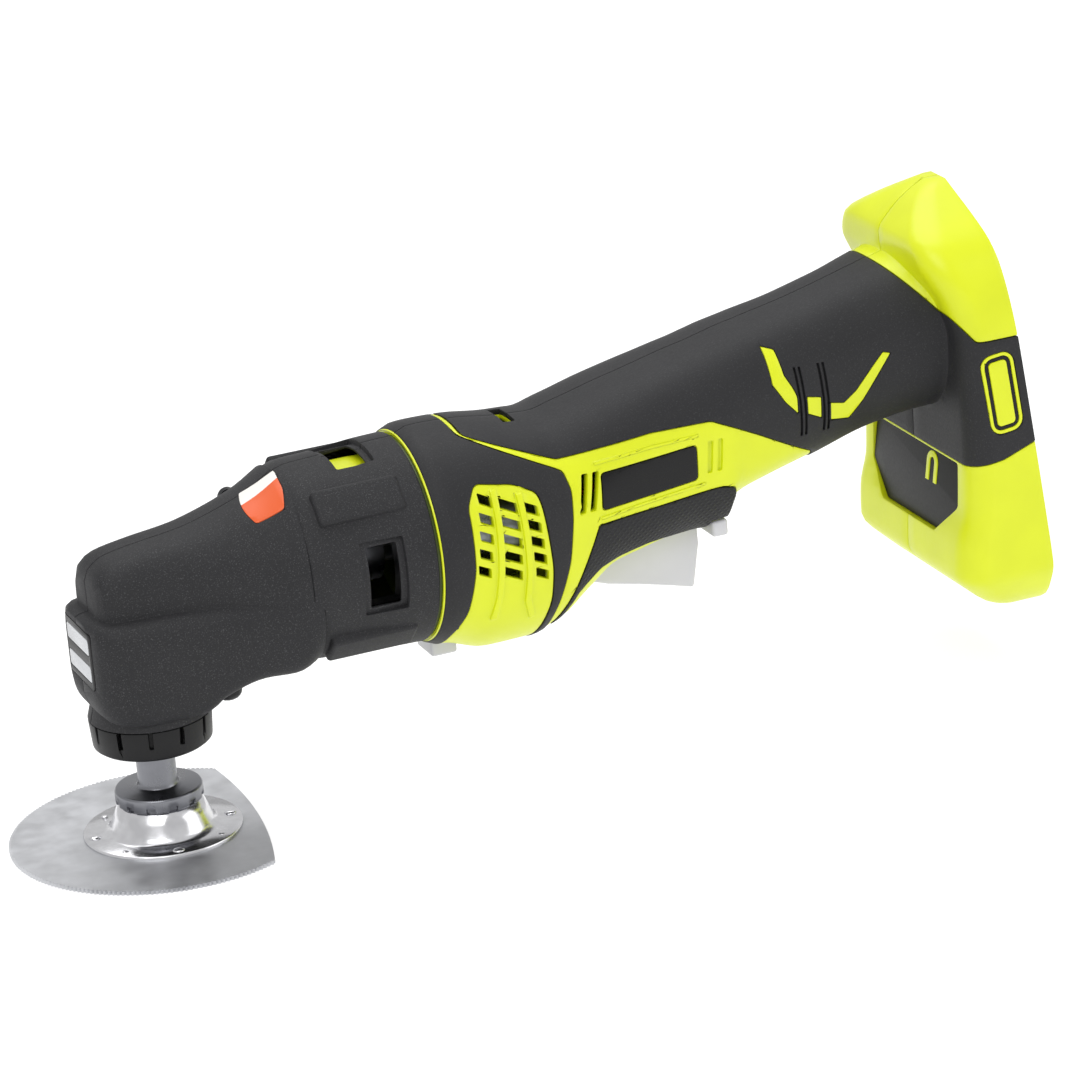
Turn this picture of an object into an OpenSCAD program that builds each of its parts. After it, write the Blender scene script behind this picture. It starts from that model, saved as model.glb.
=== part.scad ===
// Cordless oscillating multi tool with a tool-free interchangeable head.
// Origin: the spindle's axis at the face that the blade is clamped to.
// +X runs rearwards to the battery foot, +Z is up, the tool's left side faces -Y.

/* [Head] */
// Distance from the spindle's axis to the joint with the body
head_len = 81.2; // [76:0.2:100]
// Height of the motor's axis above the blade's clamp face
axis_z = 62.4; // [60:0.2:68]
// Half width of the head's lower block beside the spindle
head_half_w = 21.5; // [20:0.5:27]
// Width of the openings round the head's socket
window_len = 9; // [6:0.5:11]

/* [Body] */
// Outer radius of the round joint between head and body
joint_r = 31; // [30:0.5:38]
// Width of the body beside the trigger
body_w = 53; // [48:0.5:64]
// Width of the grip
grip_w = 45; // [42:0.5:54]
// Height of the grip
grip_h = 47; // [44:0.5:56]
// Length of the grip behind the trigger
grip_len = 67; // [56:0.5:82]
// Wall of the moulded housings
wall = 2.8; // [2.3:0.1:3.4]
// Thickness of the rubber overmould
skin_t = 1.4; // [1.1:0.1:1.6]

/* [Battery foot] */
// Half width of the foot at its rear rim
foot_half_w = 38.5; // [36:0.5:46]
// Tilt of the rear rim from upright, in degrees
foot_tilt = 6; // [4:0.5:7]
// Width of the space for the battery's stem
stem_w = 22; // [18:0.5:24]
// Height of the space for the battery's stem
stem_h = 30; // [25:0.5:31]
// Depth of the space for the battery's stem
stem_depth = 46; // [38:0.5:52]

/* [Blade] */
// Radius of the segment saw blade
blade_r = 44.5; // [37:0.5:54]
// Thickness of the blade
blade_t = 1.2; // [0.8:0.1:1.5]
// Depth from the clamp face to the top of the hub's flat ring
hub_drop = 8.6; // [7.2:0.1:10.4]
// Radius of the spindle's flange
flange_r = 12.7; // [11.5:0.1:14]
// Thickness of the spindle's flange
flange_t = 4.2; // [3.5:0.1:5.2]
// Radius of the spindle's shaft
spindle_r = 5.65; // [4.8:0.05:6.2]

/* [Drive] */
// Offset of the eccentric journal from the motor's axis
eccentricity = 0.5; // [0.4:0.05:0.7]
// Radius of the eccentric's ball bearing
ecc_bearing_r = 8; // [6.8:0.1:8.5]
// Radius of the motor's can
motor_r = 18; // [15:0.1:20]
// Length of the motor's can
motor_len = 34; // [28:0.5:36]

/* [Trigger] */
// Width of the trigger
trigger_w = 15; // [12.5:0.5:18]
// Distance from the trigger's pin to its rear face
trigger_len = 35.5; // [33:0.5:38]
// Turn of the trigger from released to pressed, in degrees
trigger_travel = 9; // [6:0.5:10]

/* [Hidden] */
$fn = 64;

ring_points = 30;         // points round each section of a moulded shell
bond = 0.05;              // gap between the rubber and the housing under it
fit = 0.05;               // radial clearance of a running fit
seam = 0.08;              // gap between the two halves of a housing
big = 200;                // reaches past the whole tool
hole_sides = 18;          // sides of the holes in the moulded shells
left = -1;                // side of a piece that lies at -Y
right = 1;                // side of a piece that lies at +Y
joint_gap = 1.2;          // space between the head and the body at the joint

head_wall = 2.4;
nose_r = 17.75;           // black ring round the spindle
nose_z = 17.7;            // its lower edge
nose_h = 9;
dome_z = 60.2;            // height at which the head's lower block meets its dome
socket_r = joint_r - 4.8; // bore of the head's socket
spigot_r = socket_r - 0.6;
spigot_bore_r = spigot_r - 4.1;
spigot_len = 27;
window_x = head_len - 16.7;

fork_x = 19.5;            // distance from the spindle's axis to the eccentric bearing
ecc_bearing_w = 5;
fork_gap = ecc_bearing_r + 2 * eccentricity + 0.25;
fork_half_w = fork_gap + 3.4;
fork_z = axis_z - 5;      // underside of the fork's prongs
shaft_r = 4;              // eccentric shaft
journal_r = 3.5;
weight_r = 8.6;
input_r = 11;             // outer radius of the input bearing
input_x = 31;

hub_r = 23;               // outer radius of the hub's flat ring
hub_t = 1;
blade_top = -hub_drop - hub_t;
rear_cut_x = 27.5;        // nearly straight rear edge of the blade
blade_turn = -6;          // how far round the spindle the blade is clamped

trigger_x = 52.8;         // trigger pin behind the joint
trigger_z = -15.4;        // trigger pin below the motor's axis
trigger_slot = trigger_w / 2 + 0.8;
spring_turns = 4.5;
spring_h = 8.3;
pin_r = 2;
pin_half_len = 14.5;
plunger_x = trigger_x + 28.2;
plunger_r = 2.6;
plunger_z = trigger_z + 3.3;
plunger_len = 12.5;
plunger_top = plunger_z + plunger_len;
plunger_travel = (plunger_x - trigger_x) * tan(trigger_travel);
lock_x = trigger_x + trigger_len + 1.6;
lock_len = 5;
lock_half_w = 15;
release_x = 3;
release_len = 8;
release_half_w = 6;
release_travel = 3;
motor_x = 12.8;           // front of the motor's can behind the joint
motor_end = motor_x + motor_len;
rotor_r = 2.5;
can_wall = 1.5;
fan_r = 17.5;
grip_start = 97.8;        // where the grip begins, behind the joint
grip_end = grip_start + grip_len;
foot_x = grip_end + 16;   // the rear rim, at the height of the grip's axis
foot_z = 34.2;            // the grip's axis at the foot, above the motor's axis
stem_z = -3;              // middle of the stem's space, along the rear rim
tray_r = foot_half_w - 5.9;
tray_slope = 8.6;         // lean of the front panel, in degrees

// Sections of the body behind the joint, each one
// [distance, middle, half width, height above it, depth below it, squareness].
body_sections = [
    [0, 0, joint_r, joint_r, joint_r, 2],
    [3.3, 0, joint_r + 1.3, joint_r + 1.3, joint_r + 1.3, 2],
    [6.8, 0, joint_r + 1.5, joint_r + 1.5, joint_r + 2, 2],
    [17.8, 0, joint_r + 1, joint_r + 0.9, joint_r + 5.3, 2.1],
    [30.8, 0, joint_r - 0.5, joint_r - 1, joint_r + 5, 2.2],
    [39.8, 0, joint_r - 2, joint_r - 1.7, joint_r + 1.8, 2.3],
    [48.8, 3.6, body_w / 2 + 1, joint_r - 3.6, joint_r - 1.4, 2.4],
    [58.8, 7.6, body_w / 2, joint_r - 5.2, joint_r - 4.6, 2.5],
    [70.8, 10.6, body_w / 2 - 1, joint_r - 5.5, joint_r - 4.5, 2.6],
    [83.8, 14.1, body_w / 2 - 2, joint_r - 6, joint_r - 2.3, 2.5],
    [94.8, 17.1, body_w / 2 - 2.5, joint_r - 6.7, joint_r + 0.3, 2.5],
    [grip_start, 19.1, grip_w / 2 + 1, grip_h / 2 - 0.5, grip_h / 2 + 3, 2.5],
    [grip_start + 0.16 * grip_len, 21.6, grip_w / 2 + 0.5, grip_h / 2 - 0.8, grip_h / 2 + 1.7, 2.5],
    [grip_start + 0.39 * grip_len, 24.6, grip_w / 2, grip_h / 2 - 0.8, grip_h / 2 + 1, 2.4],
    [grip_start + 0.61 * grip_len, 28.6, grip_w / 2, grip_h / 2 - 1.2, grip_h / 2 + 0.7, 2.4],
    [grip_start + 0.79 * grip_len, 31.6, grip_w / 2 + 1.5, grip_h / 2 - 1, grip_h / 2 + 1, 2.5],
    [grip_end + 7.2, 36, grip_w / 2 + 5.5, grip_h / 2 + 1.5, grip_h / 2 + 3.5, 2.6]];

// Level slices of the battery foot: [height, front, half width, front corner radius].
// Heights are from the motor's axis and fronts from the grip's end.
foot_levels = [
    [-56.2, 20, foot_half_w - 24.5, 3],
    [-54.4, 14, foot_half_w - 17.5, 5],
    [-50.4, 7, foot_half_w - 9, 6],
    [-45.4, 1, foot_half_w - 4.5, 7],
    [-37.4, -5.5, foot_half_w - 0.3, 8],
    [-28.4, -5, foot_half_w, 8],
    [-17.4, -2, foot_half_w, 7],
    [7.6, -1, foot_half_w - 0.3, 7],
    [34.6, -1, foot_half_w - 0.9, 8],
    [45.6, -4, foot_half_w - 2.4, 9],
    [55.6, -8.5, foot_half_w - 5.5, 9],
    [61.6, -9, foot_half_w - 10, 8],
    [67.6, -4.5, foot_half_w - 19.5, 7],
    [71.6, 0.5, foot_half_w - 27.5, 5],
    [74.9, 6.5, foot_half_w - 34, 3]];

// Sections of the head's lower block, dome and collar, from the spindle's axis.
head_block = [
    [-18.6, 48, 10.5, 11.5, 11, 5],
    [-17.2, 47, 15, 13.2, 14.5, 5],
    [-13, 46, head_half_w - 2.7, 14.6, 17, 5],
    [-5, 45.5, head_half_w - 0.8, 15.1, 18.2, 5],
    [12, 45.5, head_half_w, 15.4, 17.6, 5],
    [17, 46.5, head_half_w + 0.8, 14.5, 14.9, 5],
    [27, 48, head_half_w + 2.3, 13.2, 13, 4.5],
    [38, 50, head_half_w + 4.6, 12.4, 15.2, 4],
    [head_len - 35.2, axis_z - 4, joint_r - 3, 16, 23, 2.6]];
head_dome = [
    [-14.6, dome_z, 10, axis_z - 53, 8, 4],
    [-13.4, dome_z, 12, axis_z - 50, 8, 4],
    [-9, dome_z, 13.5, axis_z - 46.9, 8, 3.6],
    [0, dome_z, 14.5, axis_z - 45.2, 8, 3.4],
    [14, dome_z, 17, axis_z - 43.4, 8, 2.9],
    [26, dome_z, 20.5, axis_z - 40.2, 8, 2.5],
    [36, dome_z, 24.5, axis_z - 36.4, 9, 2.3],
    [head_len - 37.7, dome_z, 27.5, axis_z - 32, 12, 2.2]];
head_collar = [
    [head_len - 39.5, axis_z, joint_r - 4.7, joint_r - 4, joint_r - 4.7, 2],
    [head_len - 34, axis_z, joint_r - 2, joint_r - 2, joint_r - 2, 2],
    [head_len - 21, axis_z, joint_r - 1.4, joint_r - 1.4, joint_r - 1.4, 2],
    [head_len - 9, axis_z, joint_r - 0.5, joint_r - 0.5, joint_r - 0.5, 2],
    [head_len - joint_gap, axis_z, joint_r - 0.3, joint_r - 0.3, joint_r - 0.3, 2]];

// Side outlines behind the joint, as [distance, height above the motor's axis].
collar_outline = [
    [0.5, 45], [13, 45], [14.6, 30.6], [24.6, 25.9], [38.6, 19.3], [41, 18], [42.2, 12.7],
    [41.4, 4.4], [39.6, -7.7], [37.4, -16.9], [35.2, -27], [33.4, -45], [0.5, -45]];
vent_outline = [
    [13.3, 20.3], [24.7, 18.1], [31.3, 14.6], [32.2, 10.9], [33.9, -8.3], [33.7, -19],
    [31, -34], [29, -50], [2, -50], [4, -25.5], [7.2, -16.6], [9.2, -2.9], [9.8, 14.9]];
guard_outline = [
    [49.9, 0.5], [89.8, 2.4], [95, 1.2], [96.6, -2], [94.6, -12.6], [88, -13.4], [68.7, -11.2],
    [51.1, -14], [43.6, -19.8], [41.2, -24.5], [38.6, -31], [36.4, -31], [43.4, -14.5]];
grip_outline = [
    [15.4, 60], [16, 30.4], [25.7, 26.6], [40.3, 21.1], [44.4, 21.3], [69.1, 23.5], [88.2, 23.1],
    [grip_start - 2.3, 19.6], [grip_start + 5.7, 15.5], [grip_start + 25, 4.6],
    [grip_start + 29, -12], [grip_end - 3, -3.9], [grip_end + 9, -2.4],
    [grip_end + 30, 5], [grip_end + 30, 34.2], [grip_end + 3, 34.2], [grip_end - 2.4, 41.6],
    [grip_end - 14.6, 56], [grip_end - 18, 66]];
badge_outline = [[52, 15.4], [82.8, 17.2], [82.6, 6.6], [51.2, 4.6]];
inlay_outlines = [
    [[10.5, 39.8], [13.9, 38.6], [15, 31.5], [17.6, 26.6], [18.4, 24.4], [18.4, 19.4],
        [14.6, 23.6], [11, 29.5]],
    [[21.6, 23.8], [26, 22.8], [26, 16.4], [21.6, 18.6]],
    [[29, 20.4], [33.4, 19.4], [37.4, 22.4], [46.4, 32.6], [48.6, 32], [39.6, 18.8], [35.4, 14],
        [29, 15]]];
tray_outline = [[-28, 0], [28, 0], [28, -13.4], [17, -23.4], [-17, -23.4], [-28, -13.4]];

// Screws that join the housings: [distance behind the joint, height above the axis].
body_screws = [[47.2, 24.1], [28.2, -28.2], [96.8, 4], [grip_start + 12, 33],
    [grip_end + 8, -36.5], [grip_end + 4.5, 57]];
// Screws that join the head's halves, from the spindle's axis.
head_screw_spots = [[-12.4, axis_z - 5.4], [22, 43.5], [head_len - 34.3, axis_z - 18.6],
    [34, axis_z + 17.9]];
screw_r = 1.5;
boss_r = 3.6;
screw_head_r = 2.8;
screw_head_y = 12;        // height of the head's seat above the seam
screw_reach = 7;          // length of thread in the left half

// --- Shared geometry --------------------------------------------------------

function signed_power(v, e) = sign(v) * pow(abs(v), e);

function section_points(s, grow) = [for (i = [0 : ring_points - 1])
    let (a = 360 * i / ring_points, across = signed_power(cos(a), 2 / s[5]),
        up = signed_power(sin(a), 2 / s[5]))
    [s[0], across * (s[2] + grow), s[1] + up * ((up >= 0 ? s[3] : s[4]) + grow)]];

module skin_over(points)
    hull() polyhedron(points, [for (i = [0 : len(points) - 3]) [i, i + 1, i + 2]]);

module loft(sections, grow = 0)
    for (i = [0 : len(sections) - 2])
        skin_over(concat(section_points(sections[i], grow), section_points(sections[i + 1], grow)));

function rear_x(h) = foot_x + (foot_z - h) * tan(foot_tilt);

function corner(x, y, r, from) = [for (a = [0 : 22.5 : 90]) [x + r * cos(from + a), y + r * sin(from + a)]];

function foot_points(level, grow, past) =
    let (front = grip_end + level[1] - grow, w = level[2] + grow, rear = rear_x(level[0]) + past,
        r = max(level[3] + grow, 0.8),
        flat = concat(corner(front + r, w - r, r, 90), corner(front + r, r - w, r, 180),
            [[rear, -w], [rear, w]]))
    [for (p = flat) [p[0], p[1], level[0] + sign(level[0]) * (abs(level[0]) > 56 ? grow : 0)]];

module foot(grow = 0, past = 0)
    for (i = [0 : len(foot_levels) - 2])
        skin_over(concat(foot_points(foot_levels[i], grow, past),
            foot_points(foot_levels[i + 1], grow, past)));

// Places its children in the body's frame: origin on the motor's axis at the joint.
module in_body() translate([head_len, 0, axis_z]) children();

// Places its children with +X out of the battery foot's rear rim.
module at_rear() translate([foot_x, 0, foot_z]) rotate([0, -foot_tilt, 0]) children();

// A cylinder from x0 to x1 along the X axis.
module rod(r, x0, x1) translate([x0, 0, 0]) rotate([0, 90, 0]) cylinder(r = r, h = x1 - x0);

// A cylinder across the tool, from y0 to y1.
module cross_rod(x, z, r, y0, y1) translate([x, y0, z]) rotate([-90, 0, 0]) cylinder(r = r, h = y1 - y0);

module tube(r_out, r_in, x0, x1) difference() {
    rod(r_out, x0, x1);
    rod(r_in, x0 - 1, x1 + 1);
}

// A side outline cut right through one side of the tool.
module side_prism(points, side, grow = 0)
    mirror([0, side == left ? 1 : 0, 0]) translate([0, big, 0]) rotate([90, 0, 0])
        linear_extrude(big - seam / 2) offset(delta = grow) polygon(points);

// Everything on one side of the tool, and half the seam beyond its middle.
module half_space(side)
    translate([-big, side == left ? -big : -seam / 2, -big]) cube([3 * big, big + seam / 2, 2 * big]);

module body_solid(grow = 0) {
    loft(body_sections, grow);
    foot(grow, 0);
}

module body_cavity() {
    loft(body_sections, -wall);
    rod(joint_r - wall, -1, 0.1);
    foot(-wall, 4);
}

// What lies deeper than a given depth under the body's surface.
module body_core(depth) {
    loft(body_sections, -depth);
    foot(-depth, 8);
}

// A boss from the seam to the side wall, and the holes for the screws through such bosses.
module boss(x, z, r, side)
    cross_rod(x, z, r, side == left ? -60 : 0, side == left ? 0 : 60, $fn = hole_sides);

module screw_holes(spots) for (s = spots) {
    cross_rod(s[0], s[1], screw_r + 0.1, -screw_reach - 1, big, $fn = hole_sides);
    cross_rod(s[0], s[1], screw_head_r + 0.2, screw_head_y, big, $fn = hole_sides);
}

// --- Head -------------------------------------------------------------------

module head_solid(grow = 0) {
    loft(head_block, grow);
    loft(head_dome, grow);
    loft(head_collar, grow);
}

module head_cavity() {
    intersection() {
        loft(head_block, -head_wall);
        translate([head_block[0][0] + head_wall, -big, 0]) cube(2 * big);
    }
    intersection() {
        loft(head_dome, -head_wall);
        translate([head_dome[0][0] + head_wall, -big, 0]) cube(2 * big);
    }
    loft(head_collar, -head_wall);
}

module collar_ribs() for (a = [45, 135, 225, 315])
    translate([0, 0, axis_z]) rotate([a, 0, 0]) hull() {
        translate([head_len - 33, -5.5, joint_r - 5]) cube([1, 11, 4]);
        translate([head_len - 9, -3.5, joint_r - 5]) cube([2, 7, 5.2]);
    }

module windows(grow = 0) for (a = [0, 90, 180, 270])
    translate([0, 0, axis_z]) rotate([a, 0, 0])
        translate([window_x - window_len / 2 - grow, -9 - grow, joint_r - 9])
            cube([window_len + 2 * grow, 18 + 2 * grow, 20]);

module window_rims() difference() {
    windows(1.5);
    translate([0, 0, axis_z]) rod(joint_r - 2.3, 0, head_len);
}

module head_half(side) color("#3b3b3d") difference() {
    union() {
        head_solid();
        collar_ribs();
    }
    difference() {
        head_cavity();
        head_bosses(side);
    }
    translate([0, 0, axis_z]) rod(socket_r, head_len - 29.5, head_len + 1);
    cylinder(r = nose_r - 3, h = 33);
    translate([0, 0, nose_z]) cylinder(r = nose_r + 0.2, h = nose_h + 0.2);
    windows();
    window_rims();
    trim_pocket(bond);
    label_block(bond);
    screw_holes(head_screw_spots);
    half_space(-side);
}

module head_left() head_half(left);
module head_right() head_half(right);

module head_bosses(side) intersection() {
    head_solid(-1);
    for (s = head_screw_spots) boss(s[0], s[1], boss_r, side);
}

// Recessed panel in the head's front face.
module trim_pocket(grow) translate([-30, -9 - grow, 40.5 - grow])
    cube([12.6 + grow, 18 + 2 * grow, 17 + 2 * grow]);

module front_trim() color("#2c2c2e") difference() {
    intersection() {
        head_solid(0.02);
        trim_pocket(0);
    }
    strip_cuts(bond);
}

module strip_cuts(grow) for (z = [42.5, 50.6])
    translate([-30, -7 - grow, z - grow]) cube([12 + grow, 14 + 2 * grow, 4.8 + 2 * grow]);

module front_strips() color("#c4c6c8") intersection() {
    head_solid(-0.2);
    strip_cuts(0);
}

// Plain label set into the slope in front of the collar.
module label_block(grow) translate([34, 0, axis_z + 22]) rotate([0, -24, 0])
    translate([-6 - grow, -9 - grow, -0.6 - grow]) cube([11 + 2 * grow, 18 + 2 * grow, 10]);

module label_plate() color("#e8752f") intersection() {
    head_solid(-0.1);
    label_block(0);
}

module nose_ring() color("#1d1d1f") difference() {
    translate([0, 0, nose_z]) cylinder(r1 = nose_r - 0.6, r2 = nose_r, h = nose_h);
    translate([0, 0, nose_z - 1]) cylinder(r = 11.2, h = nose_h + 2);
    for (a = [0 : 30 : 330]) rotate(a) translate([nose_r - 2, -0.6, nose_z + 4]) cube([4, 1.2, nose_h]);
}

module spindle_seal() color("#262628") translate([0, 0, nose_z + 0.4]) difference() {
    cylinder(r = 11.1, h = 3);
    translate([0, 0, -1]) cylinder(r = spindle_r + 0.3, h = 5);
}

module gear_case() color("#a9abad") difference() {
    union() {
        translate([0, 0, nose_z + nose_h + 0.2]) cylinder(r = 14, h = 26);
        translate([0, 0, axis_z]) rod(14, input_x - 1, head_len - 31.2);
        translate([0, -6, 38]) cube([input_x + 10, 12, 11]);
        translate([input_x - 1, -6, 38]) cube([11, 12, 14]);
        translate([0, -5, axis_z + 9]) cube([input_x + 5, 10, 2.4]);
        translate([0, 0, axis_z + 2.8]) cylinder(r = 8.2, h = 8);
    }
    translate([0, 0, 10]) cylinder(r = 10.5, h = 24.3);
    translate([0, 0, 30]) cylinder(r = 8, h = 30);
    translate([0, 0, axis_z]) {
        rod(input_r, input_x, head_len);
        rod(8.5, input_x - 5, input_x + 2);
        translate([0, 0, 2]) cylinder(r = 6.5, h = 6.8);
    }
    cross_rod(22, 43.5, boss_r + 0.2, -10, 10, $fn = hole_sides);
}

module ball_bearing(r_out, r_in, w) color("#c9cccf") difference() {
    cylinder(r = r_out, h = w);
    translate([0, 0, -1]) cylinder(r = r_in, h = w + 2);
    for (z = [-1, w - 0.4]) translate([0, 0, z]) difference() {
        cylinder(r = r_in + 0.68 * (r_out - r_in), h = 1.4);
        translate([0, 0, -1]) cylinder(r = r_in + 0.32 * (r_out - r_in), h = 4);
    }
}

module lower_bearing() translate([0, 0, 28.2]) ball_bearing(10.45, spindle_r + fit, 6);
module upper_bearing() translate([0, 0, axis_z + 3.2]) ball_bearing(6.45, 4, 5);
module input_bearing() translate([input_x + 0.4, 0, axis_z]) rotate([0, 90, 0])
    ball_bearing(input_r - 0.05, shaft_r + fit, 7);

module screw(x, z) {
    cross_rod(x, z, screw_r, -screw_reach, screw_head_y + 0.5);
    difference() {
        cross_rod(x, z, screw_head_r, screw_head_y, screw_head_y + 2.2);
        cross_rod(x, z, 1.3, screw_head_y + 0.9, screw_head_y + 3, $fn = 6);
    }
}

module head_screws() color("#3f4245") for (s = head_screw_spots) screw(s[0], s[1]);

// --- Spindle and blade ------------------------------------------------------

module spindle() color("#55585b") difference() {
    union() {
        cylinder(r = flange_r, h = flange_t);
        translate([0, 0, flange_t]) cylinder(r1 = spindle_r + 1.6, r2 = spindle_r, h = 1.6);
        cylinder(r = spindle_r, h = axis_z - 6.6);
        cylinder(r = 4 - fit, h = axis_z + 8);
    }
    translate([0, 0, -1]) cylinder(r = 3.3, h = 19);
    for (a = [0 : 30 : 330]) rotate(a) translate([flange_r - 1.4, -1.3, -1]) cube([3, 2.6, 2.6]);
}

module rocker_fork() color("#6d7073") difference() {
    union() {
        translate([0, 0, fork_z - 1]) cylinder(r = 8.5, h = 7.4);
        translate([0, 0, fork_z]) linear_extrude(9) polygon([[-1, -7.5], [3.5, -9.6],
            [8, -fork_half_w], [fork_x + 3.7, -fork_half_w], [fork_x + 3.7, fork_half_w],
            [8, fork_half_w], [3.5, 9.6], [-1, 7.5]]);
    }
    translate([0, 0, fork_z - 2]) cylinder(r = 4 - fit, h = 14);
    translate([9.4, -fork_gap, fork_z - 1]) cube([fork_x, 2 * fork_gap, 12]);
    translate([-1, -20, fork_z + 6.4]) cube([10.6, 40, 9]);
}

module blade() color("#b9bcbf") rotate(blade_turn) translate([0, 0, blade_top - blade_t]) difference() {
    intersection() {
        cylinder(r = blade_r, h = blade_t);
        translate([rear_cut_x - 190, 0, -1]) cylinder(r = 190, h = blade_t + 2, $fn = 200);
    }
    translate([0, 0, -1]) cylinder(r = 13.5, h = blade_t + 2);
    for (a = [45 : 3 : 315]) rotate(a) translate([blade_r, 0, -1]) rotate(45)
        translate([-0.6, -0.6, 0]) cube([1.2, 1.2, blade_t + 2]);
}

module blade_hub() color("#d4d7da") rotate_extrude() polygon([
    [4.2, 0], [11.6, 0], [15.4, -hub_drop + 0.8], [16.6, -hub_drop], [hub_r, -hub_drop],
    [hub_r, -hub_drop - hub_t], [16.2, -hub_drop - hub_t], [14.5, -hub_drop + 0.2],
    [10.9, -hub_t], [4.2, -hub_t]]);

module hub_rivets() color("#eceeef") for (i = [0 : 7]) rotate(blade_turn + 45 * i + 90)
    translate([20, 0, -hub_drop]) cylinder(r1 = i % 2 == 0 ? 1.7 : 1.1, r2 = 0.7, h = 0.6);

module clamp_washer() color("#8c8f92") translate([0, 0, -hub_t - 2]) difference() {
    cylinder(r = 9.5, h = 2);
    translate([0, 0, -1]) cylinder(r = 3.4, h = 4);
}

module clamp_bolt() color("#3a3c3f") difference() {
    union() {
        translate([0, 0, -hub_t - 2]) cylinder(r = 3.25, h = 18);
        translate([0, 0, -hub_t - 6]) cylinder(r = 6, h = 4);
    }
    translate([0, 0, -hub_t - 7]) cylinder(r = 2.9, h = 3.4, $fn = 6);
}

// --- Eccentric --------------------------------------------------------------

module eccentric_shaft() color("#74777a") translate([0, 0, axis_z]) {
    translate([0, 0, eccentricity]) rod(journal_r, fork_x - 3, fork_x + 3);
    rod(shaft_r + 1.2, fork_x + 3, fork_x + 4.5);
    rod(shaft_r, fork_x + 4, head_len - 26);
}

module eccentric_bearing() translate([fork_x - ecc_bearing_w / 2, 0, axis_z + eccentricity])
    rotate([0, 90, 0]) ball_bearing(ecc_bearing_r, journal_r, ecc_bearing_w);

module counterweight() color("#b08d4a") translate([fork_x + 4.6, 0, axis_z]) rotate([0, 90, 0]) difference() {
    union() {
        cylinder(r = 6.4, h = 4);
        intersection() {
            cylinder(r = weight_r, h = 4);
            translate([0, -12, 0]) cube([12, 24, 4]);
        }
    }
    translate([0, 0, -1]) cylinder(r = shaft_r, h = 6);
}

module drive_socket() color("#6f7275") translate([0, 0, axis_z]) difference() {
    rod(10.5, head_len - 26, head_len - 10);
    rod(6.4, head_len - 22, head_len);
    translate([head_len - 22, -8.4, -2]) cube([20, 16.8, 4]);
}

// --- Rotor ------------------------------------------------------------------

module rotor_shaft() color("#8e9194") in_body() rod(rotor_r, -3, motor_end + 3);

module drive_dog() color("#77797c") in_body() difference() {
    union() {
        rod(6, -20, 3.5);
        translate([-20, -8, -1.6]) cube([10, 16, 3.2]);
    }
    rod(rotor_r, -3, 5);
}

module cooling_fan() color("#2b2b2d") in_body() translate([motor_x - 8, 0, 0]) difference() {
    union() {
        rod(fan_r, 5, 6.4);
        rod(6, 0, 6.4);
        for (a = [0 : 30 : 330]) rotate([a, 0, 0]) translate([0.6, -0.6, 5]) cube([5, 1.2, fan_r - 6]);
    }
    rod(rotor_r, -1, 8);
}

module armature() color("#b4763a") in_body() difference() {
    rod(motor_r - 4.6, motor_x + 6, motor_end - 12);
    rod(rotor_r, 0, 80);
    for (a = [0 : 30 : 330]) rotate([a, 0, 0]) translate([motor_x, -0.8, motor_r - 7]) cube([60, 1.6, 4]);
}

module commutator() color("#c98b4b") in_body() tube(6, rotor_r, motor_end - 11, motor_end - 4);

// --- Motor, fixed parts -----------------------------------------------------

module motor_can() color("#9fa2a5") in_body() difference() {
    rod(motor_r, motor_x, motor_end);
    rod(motor_r - can_wall, motor_x + can_wall, motor_end - can_wall);
    rod(6.5, motor_x - 1, motor_end + 1);
    for (a = [45 : 90 : 315]) rotate([a, 0, 0]) translate([motor_x - 1, -2.5, 10.5]) cube([4, 5, 4]);
}

module field_magnets() color("#4a4c4f") in_body() for (side = [0, 180]) rotate([side, 0, 0])
    intersection() {
        tube(motor_r - can_wall - 0.1, motor_r - 4, motor_x + 5, motor_end - 9);
        translate([0, -11, 0]) cube([100, 22, 30]);
    }

module motor_bearing(x) in_body() translate([x, 0, 0]) rotate([0, 90, 0])
    ball_bearing(6.45, rotor_r + fit, 4);
module front_motor_bearing() motor_bearing(motor_x);
module rear_motor_bearing() motor_bearing(motor_end - 4 + 0.5);

module carbon_brushes() color("#2f3032") in_body() for (side = [left, right])
    translate([motor_end - 9.6, side > 0 ? 6.4 : -6.4 - 8, -2.2]) cube([4.4, 8, 4.4]);

// --- Body housings ----------------------------------------------------------

module vent_slots(side) for (column = [0 : 2], row = [0 : 4]) {
    lean = [-0.8, -0.2, 0.4][column] * row;
    u0 = [13.4, 19, 26.6][column] + lean;
    u1 = [17.2, 24.6, 30.6][column] + lean;
    top = [18, 15.8, 13][column] - 4.9 * row;
    drop = 0.5 * (u1 - u0);
    side_prism([[u0, top], [u1, top - drop], [u1, top - drop - 2.9], [u0, top - 2.9]], side);
}

module cooling_slots(side) for (u = [43.8, 47.2])
    side_prism([[u, 5.2], [u + 1.9, 5.2], [u + 4.3, 16.2], [u + 2.4, 16.2]], side);

// Openings for the trigger, the lock slide and the release button, and a slot on top of the grip.
module under_cuts() {
    translate([31.2, -6.3, 24.4]) cube([3.6, 12.6, 20]);
    translate([trigger_x - 3.8, -trigger_slot, -45]) cube([trigger_len + 5.4, 2 * trigger_slot, 50]);
    translate([lock_x - 0.5, -lock_half_w - 3.5, -24]) cube([lock_len + 1, 2 * lock_half_w + 7, 14.2]);
    translate([release_x - 1, -release_half_w - 0.6, -45])
        cube([release_len + 2, 2 * release_half_w + 1.2, 45]);
}

module body_bosses(side) intersection() {
    body_solid(-1);
    union() {
        for (s = body_screws) boss(s[0], s[1], boss_r, side);
        boss(trigger_x, trigger_z, 4.6, side);
    }
}

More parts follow.
